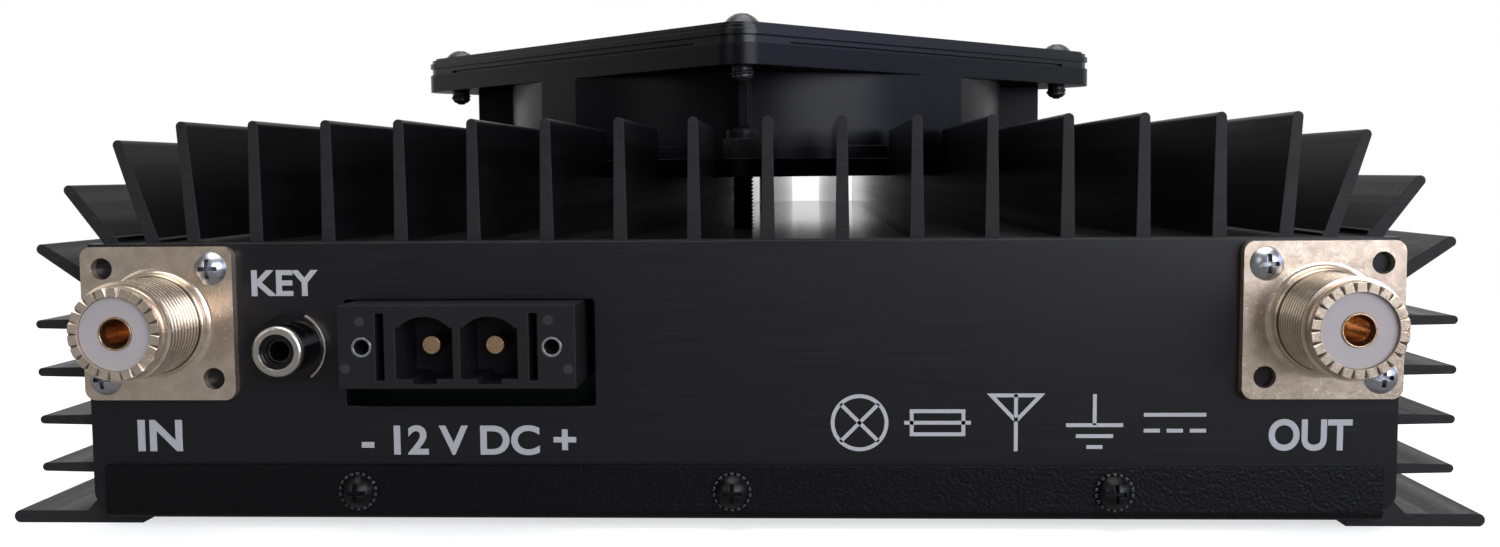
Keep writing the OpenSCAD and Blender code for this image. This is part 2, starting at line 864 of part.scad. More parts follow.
module key_jack_insulator() {
    recess = 0.8;
    color("#3a3a3c") at_connector(-jack_x, jack_z) translate([0, 0, -jack_rear])
        tube(jack_inner_r - fit, jack_contact_r + fit, jack_rear + jack_len - recess);
}

module key_jack_contact() {
    recess = 1.4;
    color("#b98b3a") at_connector(-jack_x, jack_z) difference() {
        translate([0, 0, -jack_rear]) cylinder(r = jack_contact_r, h = jack_rear + jack_len - recess);
        translate([0, 0, jack_len - recess - jack_depth]) cylinder(r = jack_pin_r, h = jack_depth + 1);
    }
}

// ---- Power header --------------------------------------------------------

// Outline of one pin bay: a square mouth with an arched top and a keyway below.
module bay_2d() {
    arch_r = (arch_share * bay_w * bay_w / 4 + bay_arch * bay_arch) / (2 * bay_arch);
    top = bay_side_h - bay_low;
    translate([-bay_w / 2, -bay_low]) square([bay_w, bay_side_h]);
    intersection() {
        translate([0, top + bay_arch - arch_r]) circle(arch_r);
        translate([-bay_w / 2, 0]) square([bay_w, top + bay_arch + 1]);
    }
    translate([-keyway_w / 2, -bay_low - keyway_h]) square([keyway_w, keyway_h + 1]);
}

module power_header() {
    color("#2c2c30") at_connector(-header_x, header_z) difference() {
        translate([-header_w / 2, -header_h / 2, -header_back])
            cube([header_w, header_h, header_back + header_out]);
        for (s = [-1, 1]) {
            translate([s * power_pitch / 2, 0, header_out - bay_depth])
                linear_extrude(bay_depth + 1) bay_2d();
            translate([s * power_pitch / 2, -pin_drop, -header_back - 1])
                cylinder(r = pin_r, h = header_back + header_out);
            translate([s * slot_x - slot_w / 2, -slot_h / 2, header_out - slot_depth])
                cube([slot_w, slot_h, slot_depth + 1]);
            translate([s * insert_pitch / 2, 0, header_out - insert_l - insert_relief])
                cylinder(r = insert_r, h = insert_l + insert_relief + 1);
        }
    }
}

module power_pins() {
    tail = 3;
    color("#c79a4a") at_connector(-header_x, header_z) for (s = [-1, 1])
        translate([s * power_pitch / 2, -pin_drop, -header_back - tail])
            cylinder(r = pin_r, h = header_back + tail + header_out - pin_recess);
}

module header_inserts() {
    color("silver") at_connector(-header_x, header_z) for (s = [-1, 1])
        translate([s * insert_pitch / 2, 0, header_out - insert_l])
            tube(insert_r, insert_bore, insert_l);
}

module connector_board() {
    color("#1f5a34") difference() {
        translate([conn_board_x0, board_y0, conn_board_z0])
            cube([conn_board_x1 - conn_board_x0, board_t, conn_board_z1 - conn_board_z0]);
        for (s = [-1, 1]) at_connector(-header_x + s * power_pitch / 2, header_z - pin_drop)
            translate([0, 0, -header_back - board_t - 1]) cylinder(r = pin_r + fit, h = board_t + 2);
        for (x = conn_posts_x) at_connector(x, conn_post_z)
            translate([0, 0, -header_back - board_t - 1]) cylinder(r = m3_r + fit, h = board_t + 2);
    }
}

// Posts pressed into the inner face of the connector panel, each with its screw stud.
module board_posts() {
    stud_l = 2.6;
    nut_high = 2;
    nut_wide = 3.1;
    sink = 0.5;
    color("silver") for (x = conn_posts_x) at_connector(x, conn_post_z) {
        translate([0, 0, -header_back]) cylinder(r = post_r, h = header_back - panel_t);
        translate([0, 0, -header_back - board_t - stud_l]) {
            cylinder(r = m3_r, h = stud_l + board_t + sink);
            translate([0, 0, stud_l - nut_high]) cylinder(r = nut_wide, h = nut_high, $fn = 6);
        }
    }
}

// ---- Fan -----------------------------------------------------------------

module at_fan() {
    translate([0, fan_y, fan_z]) rotate(45) children();
}

module fan_corners() {
    for (x = [-1, 1], y = [-1, 1]) translate([x * fan_hole_gap / 2, y * fan_hole_gap / 2, 0]) children();
}

module fan_plate(h) {
    linear_extrude(h) round_square(fan_w, fan_w, fan_corner);
}

module fan_walls() {
    fan_plate(foot_flange_t);
    translate([0, 0, fan_t - flange_t]) fan_plate(flange_t);
    intersection() {
        cylinder(r = tube_r, h = fan_t, $fn = 128);
        translate([-fan_w / 2, -fan_w / 2, 0]) cube([fan_w, fan_w, fan_t]);
    }
    for (a = [45 : 90 : 315]) rotate(a) {
        translate([tube_r - 1.5, -web_t / 2, 1]) cube([web_r - tube_r + 1.5, web_t, fan_t - 2]);
        intersection() {
            translate([0, 0, 1]) cylinder(r = collar_r, h = foot_flange_t + collar_h - 1, $fn = 128);
            linear_extrude(fan_t) polygon([[0, 0],
                [2 * collar_r * cos(collar_half), -2 * collar_r * sin(collar_half)],
                [2 * collar_r * cos(collar_half), 2 * collar_r * sin(collar_half)]]);
        }
    }
}

module fan_frame() {
    color("#232326") at_fan() {
        difference() {
            fan_walls();
            translate([0, 0, -1]) cylinder(r = throat_r, h = fan_t + 2, $fn = 128);
            fan_corners() translate([0, 0, -1]) cylinder(r = fan_hole_r, h = fan_t + 2);
        }
        difference() {
            union() {
                cylinder(r = mount_r, h = strut_t);
                for (a = [0 : 90 : 270]) rotate(a) translate([mount_r - strut_lap, -strut_w / 2, 0])
                    cube([throat_r - mount_r + strut_lap + throat_lap, strut_w, strut_t]);
                cylinder(r = sleeve_r, h = bearing_high + bearing_t - fan_z);
            }
            translate([0, 0, bearing_floor]) cylinder(r = bearing_r + fit, h = fan_t);
        }
    }
}

// Ball bearings drawn as plain rings, one low and one high in the sleeve.
module fan_bearings() {
    color("silver") for (z = [bearing_low, bearing_high]) translate([0, fan_y, z])
        tube(bearing_r, shaft_r + shaft_fit, bearing_t);
    color("silver") translate([0, fan_y, bearing_low + bearing_t])
        tube(bearing_r, bearing_r - bearing_wall, bearing_high - bearing_low - bearing_t);
}

module fan_stator() {
    poles = 4;
    air_gap = 0.8;
    pole_r = hub_r - hub_wall - magnet_t - air_gap;
    core_z = strut_t + 2.5;
    core_h = 7;
    coil_wall = 3;
    slot_deep = 5;
    slot_wide = 2;
    color("#7a4a2a") at_fan() {
        translate([0, 0, strut_t]) tube(sleeve_r + coil_wall, sleeve_r + fit, core_z + core_h - strut_t);
        difference() {
            translate([0, 0, core_z]) cylinder(r = pole_r, h = core_h);
            translate([0, 0, core_z - 1]) cylinder(r = sleeve_r + fit, h = core_h + 2);
            for (a = [0 : 360 / poles : 359]) rotate(a)
                translate([pole_r - slot_deep, -slot_wide / 2, core_z - 1])
                    cube([slot_deep + 1, slot_wide, core_h + 2]);
        }
    }
}

module fan_shaft() {
    color("silver") translate([0, fan_y, shaft_low])
        cylinder(r = shaft_r, h = hub_high - shaft_cover - shaft_low);
}

module fan_magnet() {
    low = hub_low + 1;
    cap_gap = 2;
    color("#3c3c40") translate([0, fan_y, low])
        tube(hub_r - hub_wall, hub_r - hub_wall - magnet_t, hub_high - hub_cap - cap_gap - low);
}

// One blade: part of a thin cylinder wall whose axis lies along the blade, tilted for pitch.
module blade() {
    span = blade_z1 - blade_z0;
    intersection() {
        translate([0, 0, blade_z0]) tube(blade_r, hub_r - blade_sink, span);
        translate([hub_r - 3, 0, (blade_z0 + blade_z1) / 2]) rotate([-blade_pitch, 0, 0])
            translate([0, 0, -blade_curve]) rotate([0, 90, 0]) difference() {
                cylinder(r = blade_curve, h = blade_r, $fn = 96);
                translate([0, 0, -1]) cylinder(r = blade_curve - blade_t, h = blade_r + 2, $fn = 96);
                translate([-blade_curve / 3, -2 * blade_curve, -1])
                    cube([2 * blade_curve, 4 * blade_curve, blade_r + 2]);
            }
    }
}

module fan_rotor() {
    boss_low = bearing_high + bearing_t + rotor_gap;
    boss_r = 4;
    boss_sink = 0.5;
    color("#1d1d20") translate([0, fan_y, 0]) difference() {
        union() {
            difference() {
                translate([0, 0, hub_low]) cylinder(r = hub_r, h = hub_high - hub_low);
                translate([0, 0, hub_low - 1])
                    cylinder(r = hub_r - hub_wall, h = hub_high - hub_cap - hub_low + 1);
            }
            translate([0, 0, boss_low]) cylinder(r = boss_r, h = hub_high - boss_low - boss_sink);
            for (a = [0 : 360 / blade_count : 359]) rotate(a) blade();
        }
        translate([0, 0, boss_low - 1])
            cylinder(r = shaft_r, h = hub_high - shaft_cover - boss_low + 1);
    }
}

module fan_guard() {
    rim_step = 0.6;
    lip = 1;
    edge = 1.3;
    top_in = 0.5;
    relief_in = 1.2;
    relief_corner = 14;
    spoke_w = 3;
    spoke_sink = 0.3;
    color("#202023") at_fan() translate([0, 0, fan_t]) difference() {
        union() {
            difference() {
                union() {
                    translate([0, 0, rim_step + lip]) fan_plate(guard_t - rim_step - lip - edge);
                    linear_extrude(guard_t - top_in)
                        round_square(fan_w - 2 * top_in, fan_w - 2 * top_in, fan_corner - top_in);
                    linear_extrude(guard_t)
                        round_square(fan_w - 2 * edge, fan_w - 2 * edge, fan_corner - edge);
                }
                translate([0, 0, -1]) cylinder(r = guard_open_r, h = guard_t + 2, $fn = 128);
                for (a = [0 : 90 : 270]) rotate(a)
                    translate([fan_w / 2 - relief_in, relief_corner - fan_w / 2, -1])
                        cube([relief_in + 1, fan_w - 2 * relief_corner, rim_step + 1]);
            }
            for (i = [0 : guard_rings - 1]) {
                r = guard_hub_r + (guard_open_r - guard_hub_r) * (i + 1) / (guard_rings + 1);
                translate([0, 0, guard_t - guard_bar_h]) tube(r + guard_bar / 2, r - guard_bar / 2,
                    guard_bar_h);
            }
            translate([0, 0, guard_t - guard_bar_h]) {
                cylinder(r = guard_hub_r, h = guard_bar_h);
                for (a = [0 : 90 : 270]) rotate(a) translate([guard_hub_r - 1, -spoke_w / 2, 0])
                    cube([guard_open_r - guard_hub_r + 2, spoke_w, guard_bar_h - spoke_sink]);
            }
        }
        fan_corners() translate([0, 0, -1]) cylinder(r = fan_hole_r, h = guard_t + 2);
    }
}

module fan_screws() {
    shank = guard_t + flange_t + tap_tip;
    tip_r = 0.7;
    tip_h = 1.2;
    tip_lap = 0.2;
    color("#3a3a3e") at_fan() translate([0, 0, fan_t + guard_t]) fan_corners() {
        pan_screw(tap_head_r, tap_head_h, tap_r, shank - tip_h + tip_lap);
        translate([0, 0, -shank]) cylinder(r1 = tip_r, r2 = tap_r, h = tip_h);
    }
}

module fan_studs() {
    color("#1a1a1c") stud_places() translate([0, 0, floor_h - stud_hole_d + sheet_gap])
        cylinder(r = stud_r, h = fan_z + foot_flange_t + stud_top - floor_h + stud_hole_d - sheet_gap);
}

module fan_nuts() {
    color("#1a1a1c") stud_places() translate([0, 0, fan_z + foot_flange_t]) difference() {
        union() {
            cylinder(r = nut_r, h = nut_h, $fn = 6);
            cylinder(r = nut_collar_r, h = nut_h + nut_collar_h);
        }
        translate([0, 0, -1]) cylinder(r = stud_r + fit, h = nut_h + nut_collar_h + 2);
    }
}

// ---- Radio-frequency board and what it carries ---------------------------

module rf_board() {
    color("#1f5a34") difference() {
        translate([-board_w / 2, board_y - board_l / 2, board_low]) cube([board_w, board_l, board_t]);
        for (x = device_x) translate([x - device_w / 2 - slack, device_y - device_l / 2 - slack,
                                      board_low - 1])
            cube([device_w + 2 * slack, device_l + 2 * slack, board_t + 2]);
        for (x = spacer_x, y = spacer_y) translate([x, y, board_low - 1])
            cylinder(r = m3_hole, h = board_t + 2);
    }
}

module board_spacers() {
    color("silver") for (x = spacer_x, y = spacer_y) translate([x, y, board_top])
        tube(spacer_r, m3_hole, board_gap);
}

module board_screws() {
    color("silver") for (x = spacer_x, y = spacer_y) translate([x, y, board_low])
        rotate([180, 0, 0]) pan_screw(pan_r, pan_h, so_screw_r, board_t + board_gap + screw_bite);
}

// Flanged power transistors bolted to the underside of the heatsink.
module power_transistors() {
    leads = [-1, 1];
    color("#d9c9a8") for (x = device_x) translate([x, device_y, base_z - device_flange_t]) {
        difference() {
            translate([-device_w / 2, -device_l / 2, 0]) cube([device_w, device_l, device_flange_t]);
            for (s = [-1, 1]) translate([0, s * device_hole / 2, -1])
                cylinder(r = m3_hole, h = device_flange_t + 2);
        }
        translate([-device_w / 2, -device_cap_l / 2, -device_cap_h])
            cube([device_w, device_cap_l, device_cap_h]);
        for (s = leads) translate([s * (device_w + lead_l - 2) / 2, 0,
                                   board_low - base_z + device_flange_t - lead_t / 2])
            cube([lead_l, lead_w, lead_t], center = true);
    }
}

module transistor_screws() {
    color("silver") for (x = device_x, s = [-1, 1])
        translate([x, device_y + s * device_hole / 2, base_z - device_flange_t])
            rotate([180, 0, 0]) pan_screw(pan_r, pan_h, so_screw_r, device_flange_t + screw_bite);
}

// Ferrite block with two tubes through it, under the board.
module transformer(size, bore_r) {
    difference() {
        translate([-size[0] / 2, -size[1] / 2, -size[2]]) cube(size);
        for (s = [-1, 1]) translate([s * size[0] / 4, size[1] / 2 + 1, -size[2] / 2])
            rotate([90, 0, 0]) cylinder(r = bore_r, h = size[1] + 2);
    }
}

module input_transformer() {
    color("#4a4a4e") translate([0, device_y + former_off, board_low])
        transformer(input_former, input_tube_r);
}

module output_transformer() {
    color("#4a4a4e") translate([0, device_y - former_off, board_low])
        transformer(output_former, output_tube_r);
}

// Hangs a piece under the board at a place measured from the transistors' row.
module under_board(place) {
    translate([place[0], device_y + place[1], board_low]) rotate([180, 0, 0]) children();
}

module filter_coils() {
    color("#a5522a") for (p = coil_places) under_board(p)
        tube(torus_out, torus_out - torus_wall, torus_h);
}

module changeover_relays() {
    color("#d8d8d0") for (p = relay_places) under_board(p)
        translate([-relay_size[0] / 2, -relay_size[1] / 2, 0]) cube(relay_size);
}

module supply_capacitors() {
    color("#28324a") for (p = capacitor_places) under_board(p) cylinder(r = capacitor_r, h = capacitor_h);
}

module mica_capacitors() {
    color("#8a5a3a") for (p = mica_places) under_board(p)
        translate([-mica_size[0] / 2, -mica_size[1] / 2, 0]) cube(mica_size);
}

// ---- Controls ------------------------------------------------------------

module control_board() {
    color("#1f5a34") difference() {
        translate([-ctrl_board_x, ctrl_board_y - board_t, ctrl_board_z0])
            cube([2 * ctrl_board_x, board_t, ctrl_board_z1 - ctrl_board_z0]);
        for (x = ctrl_posts_x) translate([x, ctrl_board_y, ctrl_post_z]) rotate([-90, 0, 0])
            translate([0, 0, -board_t - 1]) cylinder(r = m3_hole, h = board_t + 2);
    }
}

module control_posts() {
    bore = 5;
    color("silver") for (x = ctrl_posts_x) translate([x, ctrl_board_y, ctrl_post_z])
        rotate([-90, 0, 0]) difference() {
            cylinder(r = spacer_r, h = inner_y1 - ctrl_board_y);
            translate([0, 0, -1]) cylinder(r = port_bore, h = bore + 1);
        }
}

module control_board_screws() {
    bite = 4.5;
    color("silver") for (x = ctrl_posts_x) translate([x, ctrl_board_y - board_t, ctrl_post_z])
        rotate([90, 0, 0]) pan_screw(pan_r, pan_h, so_screw_r, board_t + bite);
}

// A switch on the control board, with a well for the button's stem.
module switch_body() {
    difference() {
        translate([-switch_w / 2, -switch_w / 2, 0]) cube([switch_w, switch_w, switch_d]);
        translate([0, 0, switch_d - well_d]) cylinder(r = stem_r + slack, h = well_d + 1);
    }
}

module switch_bodies() {
    color("#3b3b3f") for (x = concat([power_x], key_x)) translate([x, ctrl_board_y, control_z])
        rotate([-90, 0, 0]) switch_body();
}

// A push button seen from outside: cap, keeper flange behind the panel and stem.
module button(r, travel) {
    dome = 0.6;
    stem_end = ctrl_board_y + switch_d - well_d + travel + slack;
    translate([0, 0, -panel_t - slack]) cylinder(r = r, h = panel_t + slack + button_out - dome);
    translate([0, 0, button_out - dome]) cylinder(r1 = r, r2 = r - dome, h = dome);
    translate([0, 0, -panel_t - slack - cap_flange_t]) cylinder(r = r + cap_flange, h = cap_flange_t);
    translate([0, 0, stem_end - ctrl_y])
        cylinder(r = stem_r, h = ctrl_y - stem_end - panel_t - slack);
}

module power_button() {
    color("#b02820") at_control(power_x, control_z) button(power_r, power_travel);
}
module mode_button() {
    color("#4a4a4e") at_control(key_x[0], control_z) button(key_r, key_travel);
}
module band_button() {
    color("#4a4a4e") at_control(key_x[1], control_z) button(key_r, key_travel);
}

module status_lights() {
    color("#c8e8c8") for (i = [0 : light_count - 1])
        at_control(light_x0 + i * light_pitch, control_z) {
            translate([0, 0, ctrl_board_y - ctrl_y]) cylinder(r = light_r, h = ctrl_y - ctrl_board_y);
            difference() {
                sphere(light_r);
                translate([0, 0, -2 * light_r - 0.1]) cube(4 * light_r, center = true);
            }
        }
}

heatsink_housing();
foot_rails();
top_fins();
fan_bed_fins();
connector_panel();
control_panel();
bottom_cover();
cover_screws();
cover_washers();
press_nuts();
control_panel_screws();
input_socket_shell();
input_socket_insulator();
input_socket_contact();
output_socket_shell();
output_socket_insulator();
output_socket_contact();
socket_screws();
key_jack_sleeve();
key_jack_bezel();
key_jack_ring();
key_jack_insulator();
key_jack_contact();
power_header();
power_pins();
header_inserts();
connector_board();
board_posts();
fan_frame();
fan_rotor();
fan_magnet();
fan_shaft();
fan_bearings();
fan_stator();
fan_guard();
fan_screws();
fan_studs();
fan_nuts();
rf_board();
board_spacers();
board_screws();
power_transistors();
transistor_screws();
input_transformer();
output_transformer();
filter_coils();
changeover_relays();
supply_capacitors();
mica_capacitors();
control_board();
control_posts();
control_board_screws();
switch_bodies();
power_button();
mode_button();
band_button();
status_lights();
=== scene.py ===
# %% [markdown]
# # A finned radio-frequency amplifier
#
# The object is a black amplifier seen from its connector end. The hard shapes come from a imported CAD
# model, which is loaded first and never moved. This script adds what such a model lacks: the finish of
# every surface, the printed marks, the screw threads that show, soft light and a camera.

# %% Load the frame
import json
import math

import bmesh
import bpy
import numpy as np
from mathutils import Matrix, Vector


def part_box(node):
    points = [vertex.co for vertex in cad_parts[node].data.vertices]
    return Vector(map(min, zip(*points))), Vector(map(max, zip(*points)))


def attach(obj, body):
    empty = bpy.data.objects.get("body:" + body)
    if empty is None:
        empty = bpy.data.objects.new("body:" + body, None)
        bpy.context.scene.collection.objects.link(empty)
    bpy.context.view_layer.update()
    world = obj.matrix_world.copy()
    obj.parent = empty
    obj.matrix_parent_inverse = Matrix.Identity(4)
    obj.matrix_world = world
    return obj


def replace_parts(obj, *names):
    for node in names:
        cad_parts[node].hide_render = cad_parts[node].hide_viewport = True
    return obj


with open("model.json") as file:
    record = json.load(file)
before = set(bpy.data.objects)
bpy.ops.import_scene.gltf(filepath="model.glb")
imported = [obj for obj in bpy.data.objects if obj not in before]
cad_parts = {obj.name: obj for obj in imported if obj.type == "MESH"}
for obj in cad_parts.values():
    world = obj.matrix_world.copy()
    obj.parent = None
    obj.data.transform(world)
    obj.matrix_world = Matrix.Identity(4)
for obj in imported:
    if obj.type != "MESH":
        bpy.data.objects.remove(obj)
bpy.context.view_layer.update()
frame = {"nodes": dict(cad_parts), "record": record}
MM = 0.001

# %% [markdown]
# ## Camera
#
# A photograph taken from so near has strong perspective, so the camera has to stand where the real one
# stood. Its place was found by least squares from the screw holes, fins and edges whose real sizes are
# known. A longer lens from further away would be simpler to place, but it would flatten the fins.

# %% Place the camera
CAMERA_AT = Vector((12.348, -360.577, 58.631)) * MM
YAW, PITCH, ROLL = -0.04153, 0.07463, -0.00778
LENS_MM = 32.73
NEAREST_SEEN = 0.01


def camera_axes(yaw, pitch, roll):
    """Right, up and backward directions: a heading turned by yaw, tipped down by pitch, then rolled."""
    ahead = Vector((math.sin(yaw) * math.cos(pitch), math.cos(yaw) * math.cos(pitch), -math.sin(pitch)))
    level = Vector((math.cos(yaw), -math.sin(yaw), 0))
    upright = level.cross(ahead)
    right = math.cos(roll) * level + math.sin(roll) * upright
    up = math.cos(roll) * upright - math.sin(roll) * level
    return right, up, -ahead


camera_data = bpy.data.cameras.new("photo_camera")
camera_data.lens = LENS_MM
camera_data.clip_start = NEAREST_SEEN
camera = bpy.data.objects.new("photo_camera", camera_data)
bpy.context.scene.collection.objects.link(camera)
turned = Matrix(camera_axes(YAW, PITCH, ROLL)).transposed().to_4x4()
camera.matrix_world = Matrix.Translation(CAMERA_AT) @ turned
bpy.context.scene.camera = camera
bpy.context.scene.view_settings.view_transform = "Standard"
print("camera stands", round(CAMERA_AT.z / MM), "mm above the floor")

# %% [markdown]
# ## Node helpers
#
# Shader trees are long when every node is made by hand. One small function makes a node, sets its plain
# values and draws its links, so a material reads like a sentence. The same function serves groups,
# materials and the world.


# %% Make and link nodes
def node(tree, kind, values=(), **settings):
    """Adds a shader node. values pairs a socket's name or number with a value, or with a socket to link."""
    made = tree.nodes.new("ShaderNode" + kind)
    for key, value in settings.items():
        setattr(made, key, value)
    for key, value in dict(values).items():
        if isinstance(value, bpy.types.NodeSocket):
            tree.links.new(value, made.inputs[key])
        else:
            made.inputs[key].default_value = value
    return made


def remap(tree, value, low, high, to_low=0.0, to_high=1.0):
    """value carried from low..high to to_low..to_high, and held at those ends."""
    made = node(tree, "MapRange", {"Value": value, "From Min": low, "From Max": high,
                                   "To Min": to_low, "To Max": to_high})
    return made.outputs["Result"]


def maths(tree, operation, first, second=0.0):
    """One sum of two values."""
    return node(tree, "Math", {0: first, 1: second}, operation=operation).outputs[0]


def blend_colour(tree, share, first, second):
    """The first colour where share is 0, and the second where it is 1."""
    made = node(tree, "Mix", {0: share, 6: first, 7: second}, data_type="RGBA")
    return made.outputs[2]


def ray_kinds(tree):
    """Two shares of a ray: whether the camera sees it, and whether a mirror or glass shows it."""
    rays = node(tree, "LightPath").outputs
    return rays["Is Camera Ray"], maths(tree, "MAXIMUM", rays["Is Glossy Ray"], rays["Is Transmission Ray"])


# %% [markdown]
# ## World and floor
#
# The photograph has a white ground, yet the black metal stays black. The room behind the camera must be
# dark, and the bright ground lies behind and below the object. So the camera sees plain white, a mirror
# ray sees white behind the object and near dark in front, and scattered light gets an even, low level.

# %% Build the world
WHITE = (1.0, 1.0, 1.0, 1.0)
ROOM_LEVEL = 0.14
FRONT_LEVEL = 0.13
CEILING_LEVEL = 0.3
BACK_STARTS, BACK_FULL = 0.12, 0.45
CEILING_STARTS, CEILING_FULL = 0.2, 0.9

world = bpy.data.worlds.new("studio")
world.use_nodes = True
bpy.context.scene.world = world
tree = world.node_tree
tree.nodes.clear()
to_camera, mirror = ray_kinds(tree)
direction = node(tree, "SeparateXYZ", {0: node(tree, "TexCoord").outputs["Generated"]}).outputs
behind = remap(tree, direction["Y"], BACK_STARTS, BACK_FULL, FRONT_LEVEL, 1.0)
above = remap(tree, direction["Z"], CEILING_STARTS, CEILING_FULL, 0.0, CEILING_LEVEL)
mirrored = maths(tree, "MAXIMUM", behind, above)
level = node(tree, "Mix", {0: mirror, 2: ROOM_LEVEL, 3: mirrored}).outputs[0]
seen = node(tree, "Mix", {0: to_camera, 2: level, 3: 1.0}).outputs[0]
sky = node(tree, "Background", {"Color": WHITE, "Strength": seen})
node(tree, "OutputWorld", {"Surface": sky.outputs[0]})
print("world levels:", ROOM_LEVEL, FRONT_LEVEL, CEILING_LEVEL)

# %% [markdown]
# The floor follows the same plan. To the camera it is matt and bright, with a little light of its own, so
# that only the narrow gap under the feet goes grey. To a mirror it is dim in front and bright behind.
# To scattered light it is a plain pale floor.

# %% Build the floor
FLOOR_SIZE = 12.0
PALE = (0.4, 0.4, 0.4, 1.0)
BRIGHT, OWN_LIGHT = (0.55, 0.55, 0.55, 1.0), 0.66
SHADOW_ENDS, WHITE_STARTS = 0.2, 0.45
DIM_UP_TO, BRIGHT_FROM = -0.12, 0.3
DIM_LEVEL, BRIGHT_LEVEL = 0.24, 0.9

floor_mesh = bpy.data.meshes.new("floor")
half = FLOOR_SIZE / 2
floor_corners = [(-half, -half, 0), (half, -half, 0), (half, half, 0), (-half, half, 0)]
floor_mesh.from_pydata(floor_corners, [], [(0, 1, 2, 3)])
floor = bpy.data.objects.new("floor", floor_mesh)
bpy.context.scene.collection.objects.link(floor)
floor_paint = bpy.data.materials.new("pale_floor")
floor_paint.use_nodes = True
tree = floor_paint.node_tree
tree.nodes.clear()
to_camera, mirror = ray_kinds(tree)
here = node(tree, "TexCoord").outputs["Object"]
distance = node(tree, "VectorMath", {0: here}, operation="LENGTH").outputs["Value"]
depth = node(tree, "SeparateXYZ", {0: here}).outputs["Y"]
scattering = node(tree, "BsdfDiffuse", {"Color": PALE}).outputs[0]
bright = node(tree, "BsdfDiffuse", {"Color": BRIGHT}).outputs[0]
own = node(tree, "Emission", {"Color": WHITE, "Strength": OWN_LIGHT}).outputs[0]
near = node(tree, "AddShader", {0: bright, 1: own}).outputs[0]
white = node(tree, "Emission", {"Color": WHITE, "Strength": 1.0}).outputs[0]
faded = remap(tree, distance, SHADOW_ENDS, WHITE_STARTS)
shown = node(tree, "MixShader", {0: faded, 1: near, 2: white}).outputs[0]
strength = remap(tree, depth, DIM_UP_TO, BRIGHT_FROM, DIM_LEVEL, BRIGHT_LEVEL)
reflected = node(tree, "Emission", {"Color": WHITE, "Strength": strength}).outputs[0]
unseen = node(tree, "MixShader", {0: mirror, 1: scattering, 2: reflected}).outputs[0]
both = node(tree, "MixShader", {0: to_camera, 1: unseen, 2: shown}).outputs[0]
node(tree, "OutputMaterial", {"Surface": both})
floor_mesh.materials.append(floor_paint)
print("floor is", FLOOR_SIZE, "m wide")

# %% [markdown]
# ## Lamps
#
# Large area lamps stand in for windows and a pale ceiling. Wide lamps give broad, soft reflections on
# satin metal; small ones would put hard dots on every screw. The right window is cool and strong, because
# the sheen on the panel grows towards the upper right. A second one, further round to the right and bluer,
# lights only what looks sideways, such as the fan's right wall.

# %% Hang the lamps
MIDDLE = Vector((0, 0, 0.05))
PLAIN, COOL, BLUE = (1.0, 1.0, 1.0), (0.86, 0.87, 1.0), (0.55, 0.64, 1.0)


def soft_lamp(name, at, width, height, watts, colour):
    """A rectangular lamp at a point in metres, turned so that it shines towards the object's middle."""
    data = bpy.data.lights.new(name, "AREA")
    data.shape = "RECTANGLE"
    data.size, data.size_y = width, height
    data.energy = watts
    data.color = colour
    lamp = bpy.data.objects.new(name, data)
    turn = (MIDDLE - Vector(at)).to_track_quat("-Z", "Y").to_matrix().to_4x4()
    lamp.matrix_world = Matrix.Translation(at) @ turn
    bpy.context.scene.collection.objects.link(lamp)


soft_lamp("ceiling", (0.1, -0.1, 1.5), width=1.6, height=1.2, watts=20, colour=PLAIN)
soft_lamp("window_right", (0.95, -1.35, 0.5), width=1.3, height=0.9, watts=25, colour=COOL)
soft_lamp("window_left", (-1.1, -1.2, 0.6), width=0.6, height=0.8, watts=2.4, colour=PLAIN)
soft_lamp("window_side", (1.6, -0.35, 0.4), width=0.8, height=0.6, watts=3.5, colour=BLUE)

# %% [markdown]
# ## Shared surface effects
#
# Several finishes share an effect: lines left by brushing, a mottled plating, a bumpy powder coat, edges
# rubbed lighter, dirt in grooves, and a little dust. Each effect is a node group, built once and placed in
# each material with its own sizes. All patterns are in metres on Object coordinates, so they stay put on
# the piece.

# %% Start and close a group
NUMBER, VECTOR = "NodeSocketFloat", "NodeSocketVector"


def new_group(name, inputs, outputs):
    """An empty shader group. inputs gives name, socket type and default; outputs gives name and type."""
    made = bpy.data.node_groups.new(name, "ShaderNodeTree")
    for label, kind, value in inputs:
        made.interface.new_socket(label, in_out="INPUT", socket_type=kind).default_value = value
    for label, kind in outputs:
        made.interface.new_socket(label, in_out="OUTPUT", socket_type=kind)
    return made, made.nodes.new("NodeGroupInput").outputs


def close_group(tree, **results):
    """Sends each result to the group output of the same name."""
    out = tree.nodes.new("NodeGroupOutput")
    for label, socket in results.items():
        tree.links.new(socket, out.inputs[label])
    print("group", tree.name, "gives", list(results))


# %% [markdown]
# Brushing leaves long, thin scratches of uneven depth. Noise that is squeezed across the strokes and drawn
# out along them looks the same, and needs no picture. The fine layer is the scratches, and the broad one
# is the slow change of tone from stroke to stroke.

# %% Brushed lines
BROAD_SHARE = 0.13
brushing, given = new_group("brushed_lines", [("Lines", VECTOR, (60, 60, 4000))],
                            [("Height", NUMBER), ("Tone", NUMBER)])
here = node(brushing, "TexCoord").outputs["Object"]
stretched = node(brushing, "VectorMath", {0: here, 1: given["Lines"]}, operation="MULTIPLY").outputs[0]
fine = node(brushing, "TexNoise", {"Vector": stretched, "Scale": 1.0, "Detail": 3.0, "Roughness": 0.7})
broad = node(brushing, "TexNoise", {"Vector": stretched, "Scale": BROAD_SHARE, "Detail": 2.0})
close_group(brushing, Height=fine.outputs["Fac"], Tone=broad.outputs["Fac"])

# %% [markdown]
# Plating and mouldings aren't of one tone. A soft cloud of noise does for both, and its contrast is
# stretched about the middle, so that it can be faint on plastic and plain on worn metal.

